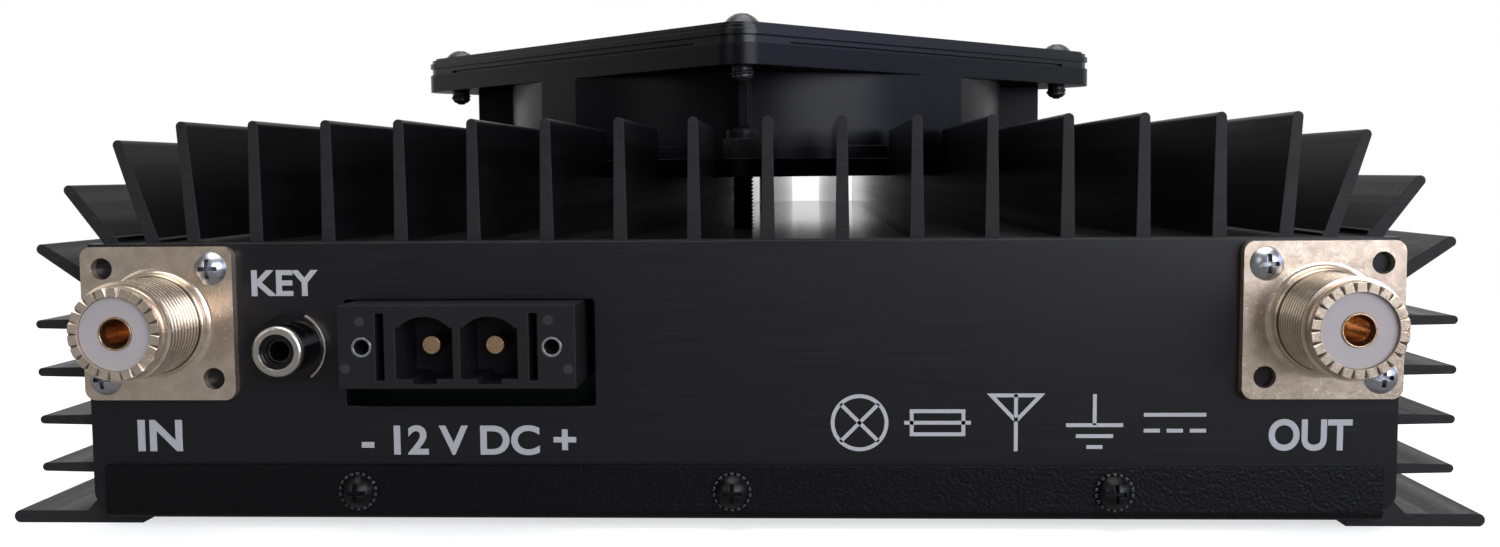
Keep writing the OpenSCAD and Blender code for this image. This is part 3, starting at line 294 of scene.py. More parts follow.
# %% Mottling, at any size
NOISE_MIDDLE = 0.5
mottling, given = new_group("mottling", [("Size", NUMBER, 0.001), ("Contrast", NUMBER, 2.0)],
                            [("Value", NUMBER), ("Height", NUMBER)])
here = node(mottling, "TexCoord").outputs["Object"]
scale = maths(mottling, "DIVIDE", 1.0, given["Size"])
noise = node(mottling, "TexNoise", {"Vector": here, "Scale": scale, "Detail": 3.0, "Roughness": 0.55})
cloud = noise.outputs["Fac"]
centred = maths(mottling, "SUBTRACT", cloud, NOISE_MIDDLE)
strong = maths(mottling, "ADD", maths(mottling, "MULTIPLY", centred, given["Contrast"]), NOISE_MIDDLE)
close_group(mottling, Value=remap(mottling, strong, 0.0, 1.0), Height=cloud)

# %% [markdown]
# Powder paint melts into rounded lumps with narrow valleys between them. Smooth cells give the valleys,
# and noise of the same size makes some lumps higher than others.

# %% Powder coat
VALLEY_DEPTH, LUMP_TOP = 0.6, 0.5
powder, given = new_group("powder_coat", [("Size", NUMBER, 0.0006)], [("Height", NUMBER), ("Tone", NUMBER)])
here = node(powder, "TexCoord").outputs["Object"]
scale = maths(powder, "DIVIDE", 1.0, given["Size"])
cells = node(powder, "TexVoronoi", {"Vector": here, "Scale": scale, "Randomness": 1.0}, feature="SMOOTH_F1")
lumps = node(powder, "TexNoise", {"Vector": here, "Scale": scale, "Detail": 2.0}).outputs["Fac"]
rise = maths(powder, "SUBTRACT", lumps, maths(powder, "MULTIPLY", cells.outputs["Distance"], VALLEY_DEPTH))
close_group(powder, Height=rise, Tone=remap(powder, rise, 0.0, LUMP_TOP))

# %% [markdown]
# No real edge is quite sharp: it catches a thin line of light, and its coat rubs off first. Cutting bevels
# into the CAD meshes would change them. The Bevel node only bends the shading near an edge, and where its
# normal departs from the face's own, the edge is found. Its mask also tints edges paler: worn coat on some
# finishes, and a painted highlight on others.

# %% Rounded and rubbed edges
EDGE_STARTS, EDGE_FULL = 0.995, 0.8
edges, given = new_group("edges", [("Radius", NUMBER, 0.0003)], [("Mask", NUMBER), ("Normal", VECTOR)])
rounded = node(edges, "Bevel", {"Radius": given["Radius"]}, samples=4).outputs[0]
straight = node(edges, "NewGeometry").outputs["Normal"]
along = node(edges, "VectorMath", {0: rounded, 1: straight}, operation="DOT_PRODUCT").outputs["Value"]
close_group(edges, Mask=remap(edges, along, EDGE_STARTS, EDGE_FULL), Normal=rounded)

# %% [markdown]
# Grooves and hollows get a painted shade: their colour is darkened where light reaches less. Ambient
# occlusion measures how closed in a point is, here only by its own piece, and so it finds grooves without a
# map painted by hand.

# %% Painted shade in grooves
GROOVE_STARTS, GROOVE_FULL = 0.92, 0.45
crevice_shade, given = new_group("crevice_shade", [("Reach", NUMBER, 0.0006)], [("Mask", NUMBER)])
around = node(crevice_shade, "AmbientOcclusion", {"Distance": given["Reach"]}, samples=6, only_local=True)
close_group(crevice_shade, Mask=remap(crevice_shade, around.outputs["AO"], GROOVE_STARTS, GROOVE_FULL))

# %% [markdown]
# Dust settles on what faces up, and the same tint also paints up-facing faces lighter, as light from above
# would: partly dust, partly painted light. Fine specks come and go in larger patches, because an even layer
# would only look like a greyer paint.

# %% Dust and painted light on what faces up
SPECK_SCALE, PATCH_SCALE = 900.0, 40.0
TOO_STEEP, LEVEL_FACE = 0.5, 1.0
SPECK_STARTS, SPECK_FULL = 0.45, 0.75
PATCH_STARTS, PATCH_FULL = 0.3, 0.7
dust_and_top_light, given = new_group("dust_and_top_light", [("Amount", NUMBER, 0.3)], [("Mask", NUMBER)])
upward = node(dust_and_top_light, "SeparateXYZ", {0: node(dust_and_top_light, "NewGeometry").outputs["Normal"]}).outputs["Z"]
here = node(dust_and_top_light, "TexCoord").outputs["Object"]
specks = node(dust_and_top_light, "TexNoise", {"Vector": here, "Scale": SPECK_SCALE, "Detail": 4.0}).outputs["Fac"]
patch = node(dust_and_top_light, "TexNoise", {"Vector": here, "Scale": PATCH_SCALE, "Detail": 2.0}).outputs["Fac"]
lying = maths(dust_and_top_light, "MULTIPLY", remap(dust_and_top_light, upward, TOO_STEEP, LEVEL_FACE), given["Amount"])
loose = maths(dust_and_top_light, "MULTIPLY", remap(dust_and_top_light, specks, SPECK_STARTS, SPECK_FULL),
              remap(dust_and_top_light, patch, PATCH_STARTS, PATCH_FULL))
close_group(dust_and_top_light, Mask=maths(dust_and_top_light, "MULTIPLY", lying, loose))

# %% [markdown]
# ## Finishes
#
# One helper starts each material with a Principled shader. Values that are the same all over the surface
# are set on the shader's own sockets. What varies, such as tone, roughness and height, comes from the
# groups.


# %% Start a material
class Finish:
    """A Principled material with short ways to place a group and to feed a socket."""

    def __init__(self, name, colour, roughness, metallic=0.0, **plain):
        self.material = bpy.data.materials.new(name)
        self.material.use_nodes = True
        self.tree = self.material.node_tree
        self.shader = self.tree.nodes["Principled BSDF"]
        self.colour = (*colour, 1.0)
        even = {"Base Color": self.colour, "Roughness": roughness, "Metallic": metallic, **plain}
        for label, value in even.items():
            self.shader.inputs[label.replace("_", " ")].default_value = value

    def place(self, group, **values):
        """Puts a shared group in the material and returns its outputs."""
        made = self.tree.nodes.new("ShaderNodeGroup")
        made.node_tree = group
        for label, value in values.items():
            made.inputs[label].default_value = value
        return made.outputs

    def tint(self, *layers):
        """Lays colours over the base colour: each layer is a mask and the colour that it brings."""
        result = self.colour
        for mask, colour in layers:
            result = blend_colour(self.tree, mask, result, (*colour, 1.0))
        self.tree.links.new(result, self.shader.inputs["Base Color"])

    def overlay(self, mask, colour):
        """Lays one more colour over those that tint has laid."""
        laid = self.shader.inputs["Base Color"].links[0].from_socket
        over = blend_colour(self.tree, mask, laid, (*colour, 1.0))
        self.tree.links.new(over, self.shader.inputs["Base Color"])

    def feed(self, label, socket, low, high, from_low=0.0, from_high=1.0):
        """Sends a varying value to a shader socket, carried to the range low..high."""
        ranged = remap(self.tree, socket, from_low, from_high, low, high)
        self.tree.links.new(ranged, self.shader.inputs[label])

    def glossy_aslant(self, start, end, roughness, specular):
        """Blends to another gloss where the view is slanted.

        The share is 0 up to start and 1 from end, both as 1 - cos(angle between view and normal).
        """
        slant = node(self.tree, "LayerWeight", {"Blend": 0.5}).outputs["Facing"]
        share = remap(self.tree, slant, start, end)
        for label, target in {"Roughness": roughness, "Specular IOR Level": specular}.items():
            was = self.shader.inputs[label]
            source = was.links[0].from_socket if was.links else was.default_value
            mixed = node(self.tree, "Mix", {0: share, 2: source, 3: target})
            self.tree.links.new(mixed.outputs[0], was)

    def relief(self, height, depth, normal):
        """Bumps the surface by depth in metres. normal is what the bumps stand on."""
        values = {"Height": height, "Distance": depth, "Strength": 1.0, "Normal": normal}
        bump = node(self.tree, "Bump", values)
        self.tree.links.new(bump.outputs[0], self.shader.inputs["Normal"])


# %% [markdown]
# ### Black anodised metal
#
# The housing is one extrusion, dyed black, with fine lines along its length from the die. Seen almost
# edge-on its satin skin turns into a mirror, which is why the floor of each channel between the fins shows
# the bright ground behind. Its two ends were sawn after dyeing, so there the bare grey shows faintly.

# %% Housing
SAWN_GREY, RUBBED_AND_LIT_GREY, DUST_AND_LIGHT_TAN = (0.03, 0.029, 0.028), (0.03, 0.0295, 0.029), (0.26, 0.235, 0.21)
OFF_SQUARE, SQUARE = 0.97, 0.99
finishes = {}


def end_faces(finish):
    """1 on flat faces that look along Y, and 0 on all others: the size of the normal's part along Y."""
    normal = node(finish.tree, "NewGeometry").outputs["True Normal"]
    along = node(finish.tree, "SeparateXYZ", {0: normal}).outputs["Y"]
    return remap(finish.tree, maths(finish.tree, "ABSOLUTE", along), OFF_SQUARE, SQUARE)


housing = Finish("anodised_housing", (0.0025, 0.0025, 0.0028), roughness=0.45, Specular_IOR_Level=0.12)
lines = housing.place(brushing, Lines=(2600, 25, 2600))
rub = housing.place(edges, Radius=0.25 * MM)
# The tan tint on level faces is partly dust and partly painted light from above.
dust_and_light = housing.place(dust_and_top_light, Amount=0.28)
saw = housing.place(brushing, Lines=(350, 350, 5200))
strokes = remap(housing.tree, saw["Height"], 0.25, 0.7, to_low=0.35)
sawn = maths(housing.tree, "MULTIPLY", end_faces(housing), strokes)
# Edges are tinted paler: partly rubbed coat, partly a painted highlight on the fin tips.
housing.tint((sawn, SAWN_GREY), (rub["Mask"], RUBBED_AND_LIT_GREY), (dust_and_light["Mask"], DUST_AND_LIGHT_TAN))
housing.feed("Roughness", lines["Tone"], low=0.36, high=0.52, from_low=0.3, from_high=0.7)
housing.glossy_aslant(start=0.915, end=0.965, roughness=0.14, specular=0.5)
housing.relief(lines["Height"], 0.004 * MM, rub["Normal"])
finishes["anodised_housing"] = housing
print("finishes so far:", list(finishes))

# %% [markdown]
# The end panels are sheets brushed sideways, and the strokes change both their tone and their gloss. The
# bottom cover has a lumpy powder coat, which is duller in its valleys than on its lumps.

# %% Panels and cover
STROKE_GREY, PANEL_EDGE, LUMP_GREY = (0.009, 0.009, 0.011), (0.02, 0.0195, 0.019), (0.004, 0.004, 0.0044)

panel = Finish("brushed_panel", (0.0035, 0.0035, 0.0042), roughness=0.34, Specular_IOR_Level=0.42,
               Anisotropic=0.55)
lines = panel.place(brushing, Lines=(45, 3000, 3600))
rub = panel.place(edges, Radius=0.3 * MM)
strokes = remap(panel.tree, lines["Height"], 0.42, 0.75, to_high=0.5)
panel.tint((strokes, STROKE_GREY), (rub["Mask"], PANEL_EDGE))
panel.feed("Roughness", lines["Height"], low=0.31, high=0.39, from_low=0.3, from_high=0.7)
panel.relief(lines["Height"], 0.005 * MM, rub["Normal"])
finishes["brushed_panel"] = panel

cover = Finish("textured_cover", (0.0015, 0.0015, 0.0017), roughness=0.5, Specular_IOR_Level=0.16)
coat = cover.place(powder, Size=0.55 * MM)
rub = cover.place(edges, Radius=0.3 * MM)
cover.tint((coat["Tone"], LUMP_GREY))
cover.feed("Roughness", coat["Tone"], low=0.5, high=0.34)
cover.relief(coat["Height"], 0.1 * MM, rub["Normal"])
finishes["textured_cover"] = cover
print("finishes so far:", list(finishes))

# %% [markdown]
# ### Plated parts
#
# The two coaxial sockets are nickel plated with a warm cast, dulled by handling, so their flat flanges show
# soft gradients and no sharp picture of the room. The screws are brighter and bluer, the key jack is
# satin, and the contacts are gold over brass. One function serves them all: the drift of tone, gloss and
# height is what tells old plating from chrome.

# %% Metals
GROOVE_SHADE_TONE, GROOVE_SHADE_REACH = 0.1, 0.7 * MM
SHINIEST, DULLEST = 0.8, 1.25
FINE_MOTTLES = 5


def plated(name, colour, shade, roughness, size, depth, edge=0.15 * MM, metallic=1.0):
    """A metal whose tone, gloss and height all drift with mottling of the given size.

    Roughness runs from 0.8 to 1.25 times the given one, and grooves get a painted shade, a tenth of the
    shade's tone.
    """
    made = Finish(name, colour, roughness, metallic=metallic)
    drift = made.place(mottling, Size=size, Contrast=2.2)
    fine = made.place(mottling, Size=size / FINE_MOTTLES, Contrast=1.5)
    rub = made.place(edges, Radius=edge)
    painted_groove_shade = made.place(crevice_shade, Reach=GROOVE_SHADE_REACH)
    # The groove mask darkens grooves and hollows: painted shade.
    made.tint((drift["Value"], shade), (painted_groove_shade["Mask"], [GROOVE_SHADE_TONE * c for c in shade]))
    made.feed("Roughness", fine["Value"], low=roughness * SHINIEST, high=roughness * DULLEST)
    made.relief(drift["Height"], depth, rub["Normal"])
    finishes[name] = made
    return made


nickel = plated("nickel_plate", (0.84, 0.71, 0.57), shade=(0.60, 0.49, 0.37), roughness=0.235,
                size=2.6 * MM, depth=0.02 * MM, edge=0.04 * MM, metallic=0.85)
plated("plated_steel", (0.58, 0.60, 0.64), shade=(0.46, 0.475, 0.51), roughness=0.3,
       size=0.7 * MM, depth=0.02 * MM)
plated("jack_nickel", (0.72, 0.68, 0.62), shade=(0.62, 0.58, 0.52), roughness=0.3,
       size=1.0 * MM, depth=0.02 * MM)
plated("gold_contact", (0.80, 0.55, 0.35), shade=(0.62, 0.40, 0.22), roughness=0.25,
       size=0.8 * MM, depth=0.03 * MM)
# The jack's contact is nearly black: painted shade inside the jack, not the tone of its metal.
plated("jack_contact", (0.08, 0.07, 0.06), shade=(0.05, 0.045, 0.04), roughness=0.4,
       size=0.8 * MM, depth=0.02 * MM)
plated("stator_copper", (0.40, 0.17, 0.08), shade=(0.28, 0.11, 0.05), roughness=0.35,
       size=0.9 * MM, depth=0.05 * MM)
print("finishes so far:", len(finishes))

# %% [markdown]
# The valleys of the sockets' fine thread get a painted shade of dark brown, so the ridges stand out as
# bright lines. The
# valleys are found by place: distance along the axis, divided by the pitch, less its whole part. Ambient
# occlusion would find them too, but over grooves so narrow it smears into one grey band.

# %% Painted shade between the thread ridges
THREAD_FRONT, THREAD_BACK, THREAD_PITCH = -153.175 * MM, -142.6 * MM, 1.058 * MM
RIDGE_ENDS, VALLEY_STARTS = 0.34, 0.44
VALLEY_ENDS = 0.86
VALLEY_SHADE_SHARE, VALLEY_SHADE_BROWN = 0.85, (0.07, 0.055, 0.04)

tree = nickel.tree
along = node(tree, "SeparateXYZ", {0: node(tree, "TexCoord").outputs["Object"]}).outputs["Y"]
turns = maths(tree, "DIVIDE", maths(tree, "SUBTRACT", along, THREAD_FRONT), THREAD_PITCH)
share = maths(tree, "FRACT", turns)
valley = maths(tree, "MINIMUM", remap(tree, share, RIDGE_ENDS, VALLEY_STARTS),
               remap(tree, share, 1.0, VALLEY_ENDS))
in_thread = maths(tree, "MULTIPLY", maths(tree, "GREATER_THAN", along, THREAD_FRONT),
                  maths(tree, "LESS_THAN", along, THREAD_BACK))
painted_valley_shade = maths(tree, "MULTIPLY", maths(tree, "MULTIPLY", valley, in_thread), VALLEY_SHADE_SHARE)
# Dark brown painted shade in the thread valleys.
nickel.overlay(painted_valley_shade, VALLEY_SHADE_BROWN)
print("thread ridges shaded:", int((THREAD_BACK - THREAD_FRONT) / THREAD_PITCH) + 1)

# %% [markdown]
# The cover's and the fan's screws are steel under a dark coat. It isn't a metal to the eye except where it
# is worn, so most of its look comes from a dark colour, and the worn tone shows in patches and on edges.

# %% Dark screws and nuts
WORN_EDGE = 2.0


def blackened(name, colour, worn, roughness, metallic=0.25):
    """Steel with a dark coat that is thin on its edges, where the worn tone is doubled."""
    made = Finish(name, colour, roughness, metallic=metallic, Specular_IOR_Level=0.3)
    drift = made.place(mottling, Size=0.6 * MM, Contrast=2.5)
    rub = made.place(edges, Radius=0.2 * MM)
    patches = remap(made.tree, drift["Value"], 0.3, 1.0, to_high=0.6)
    made.tint((patches, worn), (rub["Mask"], [WORN_EDGE * c for c in worn]))
    made.feed("Roughness", drift["Value"], low=roughness * 0.8, high=roughness * 1.3)
    made.relief(drift["Height"], 0.02 * MM, rub["Normal"])
    finishes[name] = made


blackened("black_screws", (0.003, 0.003, 0.0035), worn=(0.009, 0.0088, 0.009), roughness=0.34)
blackened("fan_screw_steel", (0.05, 0.048, 0.052), worn=(0.10, 0.096, 0.10), roughness=0.3, metallic=0.6)
print("finishes so far:", len(finishes))

# %% [markdown]
# ### Plastics
#
# Moulded plastic takes its look from the tool it was cast in. The header is dull and faintly grainy, the
# fan is smoother with a gloss, and the white insulator lets a little light under its skin.

# %% Mouldings
DRIFT_SIZE = 22 * MM
DRIFT_SHARE, EDGE_HIGHLIGHT_SHARE = 0.35, 0.6


def moulded(name, colour, roughness, grain=0.35 * MM, depth=0.01 * MM, edge=0.25 * MM, lift=1.6, **plain):
    """A plastic with fine grain, soft edges that catch the light and tone that drifts a little.

    lift is how many times paler the drift is than the colour, and an edge is twice as pale again, as a
    painted highlight.
    """
    made = Finish(name, colour, roughness, **plain)
    skin = made.place(mottling, Size=grain, Contrast=1.6)
    drift = made.place(mottling, Size=DRIFT_SIZE, Contrast=1.8)
    rub = made.place(edges, Radius=edge)
    pale, edge_highlight = [lift * c for c in colour], [min(1.0, 2 * lift * c) for c in colour]
    # Edges are tinted paler: a painted highlight.
    made.tint((remap(made.tree, drift["Value"], 0.0, 1.0, to_high=DRIFT_SHARE), pale),
              (remap(made.tree, rub["Mask"], 0.0, 1.0, to_high=EDGE_HIGHLIGHT_SHARE), edge_highlight))
    made.feed("Roughness", skin["Value"], low=roughness * 0.85, high=min(1.0, roughness * 1.2))
    made.relief(skin["Height"], depth, rub["Normal"])
    finishes[name] = made
    return made


header = moulded("header_plastic", (0.0095, 0.0092, 0.0105), 0.42, Specular_IOR_Level=0.26)
moulded("fan_plastic", (0.0018, 0.0018, 0.0028), 0.34, depth=0.004 * MM, Specular_IOR_Level=0.18)
moulded("guard_plastic", (0.002, 0.002, 0.0026), 0.3, depth=0.004 * MM, Specular_IOR_Level=0.35)
moulded("jack_plastic", (0.002, 0.002, 0.0024), 0.1, depth=0.003 * MM, edge=0.1 * MM,
        Specular_IOR_Level=0.4)
# The white insulator's colour is darkened to a mid grey: painted shade.
moulded("white_insulator", (0.38, 0.355, 0.35), 0.38, lift=1.06, Subsurface_Weight=0.25,
        Subsurface_Scale=1.0 * MM)
moulded("switch_plastic", (0.02, 0.02, 0.022), 0.45)
moulded("power_button_red", (0.42, 0.03, 0.02), 0.34, lift=1.2)
moulded("button_grey", (0.05, 0.05, 0.054), 0.42)
moulded("relay_case", (0.40, 0.40, 0.37), 0.45, lift=1.05)
moulded("capacitor_sleeve", (0.01, 0.016, 0.035), 0.3)
moulded("mica_brown", (0.12, 0.055, 0.03), 0.5)
moulded("transistor_ceramic", (0.6, 0.56, 0.48), 0.5, lift=1.05)
moulded("magnet_ferrite", (0.03, 0.03, 0.033), 0.6, depth=0.03 * MM)
moulded("light_lens", (0.55, 0.75, 0.58), 0.18, lift=1.05, Transmission_Weight=0.35)
moulded("printed_white", (0.40, 0.395, 0.405), 0.5, lift=1.03, depth=0.002 * MM, edge=0.02 * MM)
print("finishes so far:", len(finishes))

# %% [markdown]
# A circuit board is a weave of glass under green resist. The weave's tone takes the place of the drift
# that a moulding has, and the resist's gloss and grain stay.

# %% Circuit board
WEAVE_SHARE, WEAVE_GREEN = 0.4, (0.002, 0.007, 0.004)
board = moulded("circuit_board", (0.0012, 0.004, 0.0024), 0.4, Specular_IOR_Level=0.2)
weave = board.place(mottling, Size=0.5 * MM, Contrast=3.0)
board.tint((remap(board.tree, weave["Value"], 0.0, 1.0, to_high=WEAVE_SHARE), WEAVE_GREEN))
print("finishes:", len(finishes))

# %% [markdown]
# The pins that pushed the header out of its mould left round marks near its corners, a little smoother
# and paler than the rest. Each is a disc around a known point of the face. They are drawn as a tone, not
# cut into the mesh, because they are only a few hundredths of a millimetre deep.

# %% Ejector marks on the header
MARKS = [(-58.7, 35.3), (-61.2, 27.75), (-28.5, 35.5), (-25.4, 27.7)]
MARK_R = 0.85 * MM
MARK_RIM = 0.85
MARK_SHARE, MARK_GREY = 0.6, (0.045, 0.044, 0.047)
FAR_AWAY = 1.0

tree = header.tree
here = node(tree, "TexCoord").outputs["Object"]
flat = node(tree, "VectorMath", {0: here, 1: (1, 0, 1)}, operation="MULTIPLY").outputs[0]
nearest = FAR_AWAY
for x, z in MARKS:
    gap = node(tree, "VectorMath", {0: flat, 1: (x * MM, 0, z * MM)}, operation="DISTANCE").outputs["Value"]
    nearest = maths(tree, "MINIMUM", gap, nearest)
header.overlay(remap(tree, nearest, MARK_R, MARK_RIM * MARK_R, to_high=MARK_SHARE), MARK_GREY)
print("ejector marks:", len(MARKS))

# %% [markdown]
# ## Dress the CAD nodes
#
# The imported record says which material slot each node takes, so the link from node to finish is read
# from there and not written twice.

# %% Give every node its finish
slot_of = {part["node"]: part["material_slot"] for part in frame["record"]["subparts"]}
for name, obj in frame["nodes"].items():
    obj.data.materials.clear()
    obj.data.materials.append(finishes[slot_of[name]].material)
print("dressed:", len(slot_of), "nodes")

# %% [markdown]
# ## Pieces that the CAD leaves to this script
#
# Real screw threads are a helix. The CAD holds plain rods, because a helix says little about how parts fit
# and costs many faces. Here the thread is a grid wrapped round the axis. Each row of the grid is one small
# step up, and the radius depends on height and angle together, which makes the ridge climb.

# %% Turn arrays into a closed piece
WELD = 0.0005 * MM


def add_piece(name, points, faces, finish, body="chassis", smooth=False):
    """A mesh from points in mm. Seams are welded and faces turned outward, then it rides on its body."""
    mesh = bpy.data.meshes.new(name)
    mesh.from_pydata((np.asarray(points) * MM).tolist(), [], faces)
    shape = bmesh.new()
    shape.from_mesh(mesh)
    bmesh.ops.remove_doubles(shape, verts=shape.verts, dist=WELD)
    bmesh.ops.recalc_face_normals(shape, faces=shape.faces)
    shape.to_mesh(mesh)
    shape.free()
    mesh.polygons.foreach_set("use_smooth", np.full(len(mesh.polygons), smooth))
    mesh.materials.append(finishes[finish].material)
    obj = bpy.data.objects.new(name, mesh)
    bpy.context.scene.collection.objects.link(obj)
    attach(obj, body)
    print(name, "has", len(mesh.polygons), "faces")
    return obj


def stack(shapes):
    """Several (points, faces) pairs as one pair, with each pair's faces counted on from the last."""
    points, faces, start = [], [], 0
    for some_points, some_faces in shapes:
        points.append(some_points)
        faces += [[i + start for i in face] for face in some_faces]
        start += len(some_points)
    return np.concatenate(points), faces


def grid_faces(rows, columns):
    """Quads of a grid whose columns close on themselves: face (r, c) joins rows r and r + 1."""
    r, c = np.meshgrid(np.arange(rows - 1), np.arange(columns), indexing="ij")
    following = (c + 1) % columns
    quads = np.stack([r * columns + c, r * columns + following,
                      (r + 1) * columns + following, (r + 1) * columns + c], axis=-1)
    return quads.reshape(-1, 4).tolist()


# %% Threaded rods
FLANK = 1.25
TIP_SHARE = 0.75


def thread(centre, low, high, core, crest, pitch, columns=40, rows_per_turn=8):
    """A right-handed thread round the vertical axis at centre, between two heights.

    radius = core + (crest - core) * ridge, where ridge = min(1, 1.25 * |2 p - 1|) and
    p = z / pitch - angle / full turn, less its whole part. Both ends are chamfered at 45 degrees.
    """
    rows = int((high - low) / pitch * rows_per_turn) + 1
    z = np.linspace(low, high, rows)[:, None]
    angle = np.linspace(0, 2 * np.pi, columns, endpoint=False)[None, :]
    phase = (z / pitch - angle / (2 * np.pi)) % 1.0
    ridge = np.minimum(1.0, FLANK * np.abs(2 * phase - 1))
    radius = core + (crest - core) * ridge
    radius = np.minimum(radius, TIP_SHARE * core + np.minimum(z - low, high - z))
    x = centre[0] + radius * np.cos(angle)
    y = centre[1] + radius * np.sin(angle)
    points = np.stack([x, y, np.broadcast_to(z, x.shape)], axis=-1).reshape(-1, 3)
    ends = [list(range(columns)), list(range((rows - 1) * columns, rows * columns))]
    return points, grid_faces(rows, columns) + ends


# %% [markdown]
# Four M4 studs hold the fan, and four self-tapping screws hold its guard. Both sit on the same four spots,
# a quarter turn apart around the fan's axis. The studs' heights come from the rods that they replace. The
# guard screws keep their CAD shape, and only the tips below the flange get a thread around them.

# %% Fan studs and guard screw tips
FAN_Y = -18.175
HOLE_CIRCLE_R = 74.246
TIP_STARTS, TIP_ENDS = 0.4, 2.95

corners = [(0, FAN_Y + HOLE_CIRCLE_R), (HOLE_CIRCLE_R, FAN_Y),
           (0, FAN_Y - HOLE_CIRCLE_R), (-HOLE_CIRCLE_R, FAN_Y)]
stud_low, stud_high = [end[2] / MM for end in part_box("fan_studs")]
studs = [thread(at, stud_low, stud_high, core=1.62, crest=1.995, pitch=0.7) for at in corners]
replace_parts(add_piece("fan_stud_threads", *stack(studs), "black_screws", smooth=True), "fan_studs")
tip_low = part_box("fan_screws")[0][2] / MM
tip_from, tip_to = tip_low + TIP_STARTS, tip_low + TIP_ENDS
tips = [thread(at, tip_from, tip_to, core=2.0, crest=2.4, pitch=1.1) for at in corners]
add_piece("guard_screw_threads", *stack(tips), "fan_screw_steel", smooth=True)

# %% [markdown]
# ## Printed marks
#
# The real panel is screen printed in light grey. Print is thinner than a hair, but a flat sheet laid on the
# panel would fight with it for the same place. So each mark is a solid 0.04 mm thick, whose back is sunk
# a little into the metal. The words are plain ones that say what each connector is for.

# %% Where print goes
PANEL_Y = -139.325
CONTROL_Y = 150.675
PRINT_UP, PRINT_IN = 0.03, 0.01


def on_panel(across, up, out, end="connector"):
    """Flat drawing coordinates in mm to the frame: across and up lie in the panel, out leaves it."""
    if end == "connector":
        return np.stack([across, PANEL_Y - out, up], axis=-1)
    return np.stack([-across, CONTROL_Y + out, up], axis=-1)


# %% [markdown]
# Blender's text object gives the outlines of the letters. It is made a mesh, and its points are carried to
# the panel as one array. Turning and scaling the object would look the same, but a finished piece has to
# sit unturned at the origin, or its patterns would slide.

# %% Words and numbers
THICKER = 0.028
ANY_DEPTH = 0.1


def word(text, low, height, left=None, width=None, middle=None, end="connector"):
    """A word as a raised solid: its box starts at low and is height tall. Its width is given, or follows.

    Each letter point is carried from the box that Blender gives it to the box on the panel.
    """
    curve = bpy.data.curves.new(text, "FONT")
    curve.body = text
    curve.extrude = ANY_DEPTH
    curve.offset = THICKER
    holder = bpy.data.objects.new(text, curve)
    bpy.context.scene.collection.objects.link(holder)
    bpy.context.view_layer.update()
    mesh = bpy.data.meshes.new_from_object(holder.evaluated_get(bpy.context.evaluated_depsgraph_get()))
    points = np.empty(3 * len(mesh.vertices), dtype=np.float32)
    mesh.vertices.foreach_get("co", points)
    points = points.reshape(-1, 3).astype(float)
    faces = [list(p.vertices) for p in mesh.polygons]
    bpy.data.objects.remove(holder)
    bpy.data.meshes.remove(mesh)
    least, most = points.min(axis=0), points.max(axis=0)
    unit = (points - least) / (most - least)
    if width is None:
        width = height * (most[0] - least[0]) / (most[1] - least[1])
    start = left if middle is None else middle - width / 2
    out = unit[:, 2] * (PRINT_UP + PRINT_IN) - PRINT_IN
    return on_panel(start + unit[:, 0] * width, low + unit[:, 1] * height, out, end), faces


words = [word("IN", low=12.7, height=5.3, left=-99.6, width=7.6),
         word("OUT", low=12.9, height=5.2, left=86.9, width=13.3),
         word("KEY", low=38.7, height=4.3, left=-79.4, width=11.2),
         word("- 12 V DC +", low=12.1, height=5.0, left=-61.7, width=35.9)]
add_piece("connector_words", *stack(words), "printed_white")

# %% [markdown]
# Line symbols are ribbons of one width. A ribbon follows a path, and at each bend its two edges meet on the
# line that halves the angle. That keeps the stroke equally wide round the corner, as a pen would.

# %% Ribbons and symbols
STROKE = 0.62


def ribbon(path, closed=False):
    """A raised stroke along points in the panel.

    At a bend the edge is offset by STROKE / 2 / cos(half the turn).
    """
    path = np.asarray(path, float)
    steps = np.diff(np.vstack([path, path[0]]) if closed else path, axis=0)
    steps /= np.linalg.norm(steps, axis=1)[:, None]
    after = steps if closed else np.vstack([steps, steps[-1]])
    before = np.roll(steps, 1, axis=0) if closed else np.vstack([steps[0], steps])
    side_after, side_before = [np.stack([-s[:, 1], s[:, 0]], axis=-1) for s in (after, before)]
    mitre = side_after + side_before
    mitre /= np.linalg.norm(mitre, axis=1)[:, None]
    mitre *= (STROKE / 2 / np.sum(mitre * side_after, axis=1))[:, None]
    rim = np.stack([path + mitre, path + mitre, path - mitre, path - mitre], axis=1)
    out = np.broadcast_to([-PRINT_IN, PRINT_UP, PRINT_UP, -PRINT_IN], rim.shape[:2])
    points = on_panel(rim[..., 0], rim[..., 1], out).reshape(-1, 3)
    faces = grid_faces(len(path), 4)
    last = 4 * (len(path) - 1)
    if closed:
        faces += [[last + c, last + (c + 1) % 4, (c + 1) % 4, c] for c in range(4)]
    else:
        faces += [[0, 1, 2, 3], [last, last + 1, last + 2, last + 3]]
    return points, faces


def ring(x, z, radius, points=48):
    """A closed ribbon round a circle: x + radius * cos(turn), z + radius * sin(turn)."""
    turn = np.linspace(0, 2 * np.pi, points, endpoint=False)
    return ribbon(np.stack([x + radius * np.cos(turn), z + radius * np.sin(turn)], axis=-1), closed=True)


def line(*path):
    """An open ribbon through the given points."""
    return ribbon(path)


def bar(x, z, reach):
    """A level ribbon as long as reach on both sides of x."""
    return line((x - reach, z), (x + reach, z))


# %% [markdown]
# Five general circuit symbols fill the row: a lamp, a fuse, an aerial, earth and direct current. Their
# proportions are the usual ones of circuit drawings, at one height and evenly spaced.

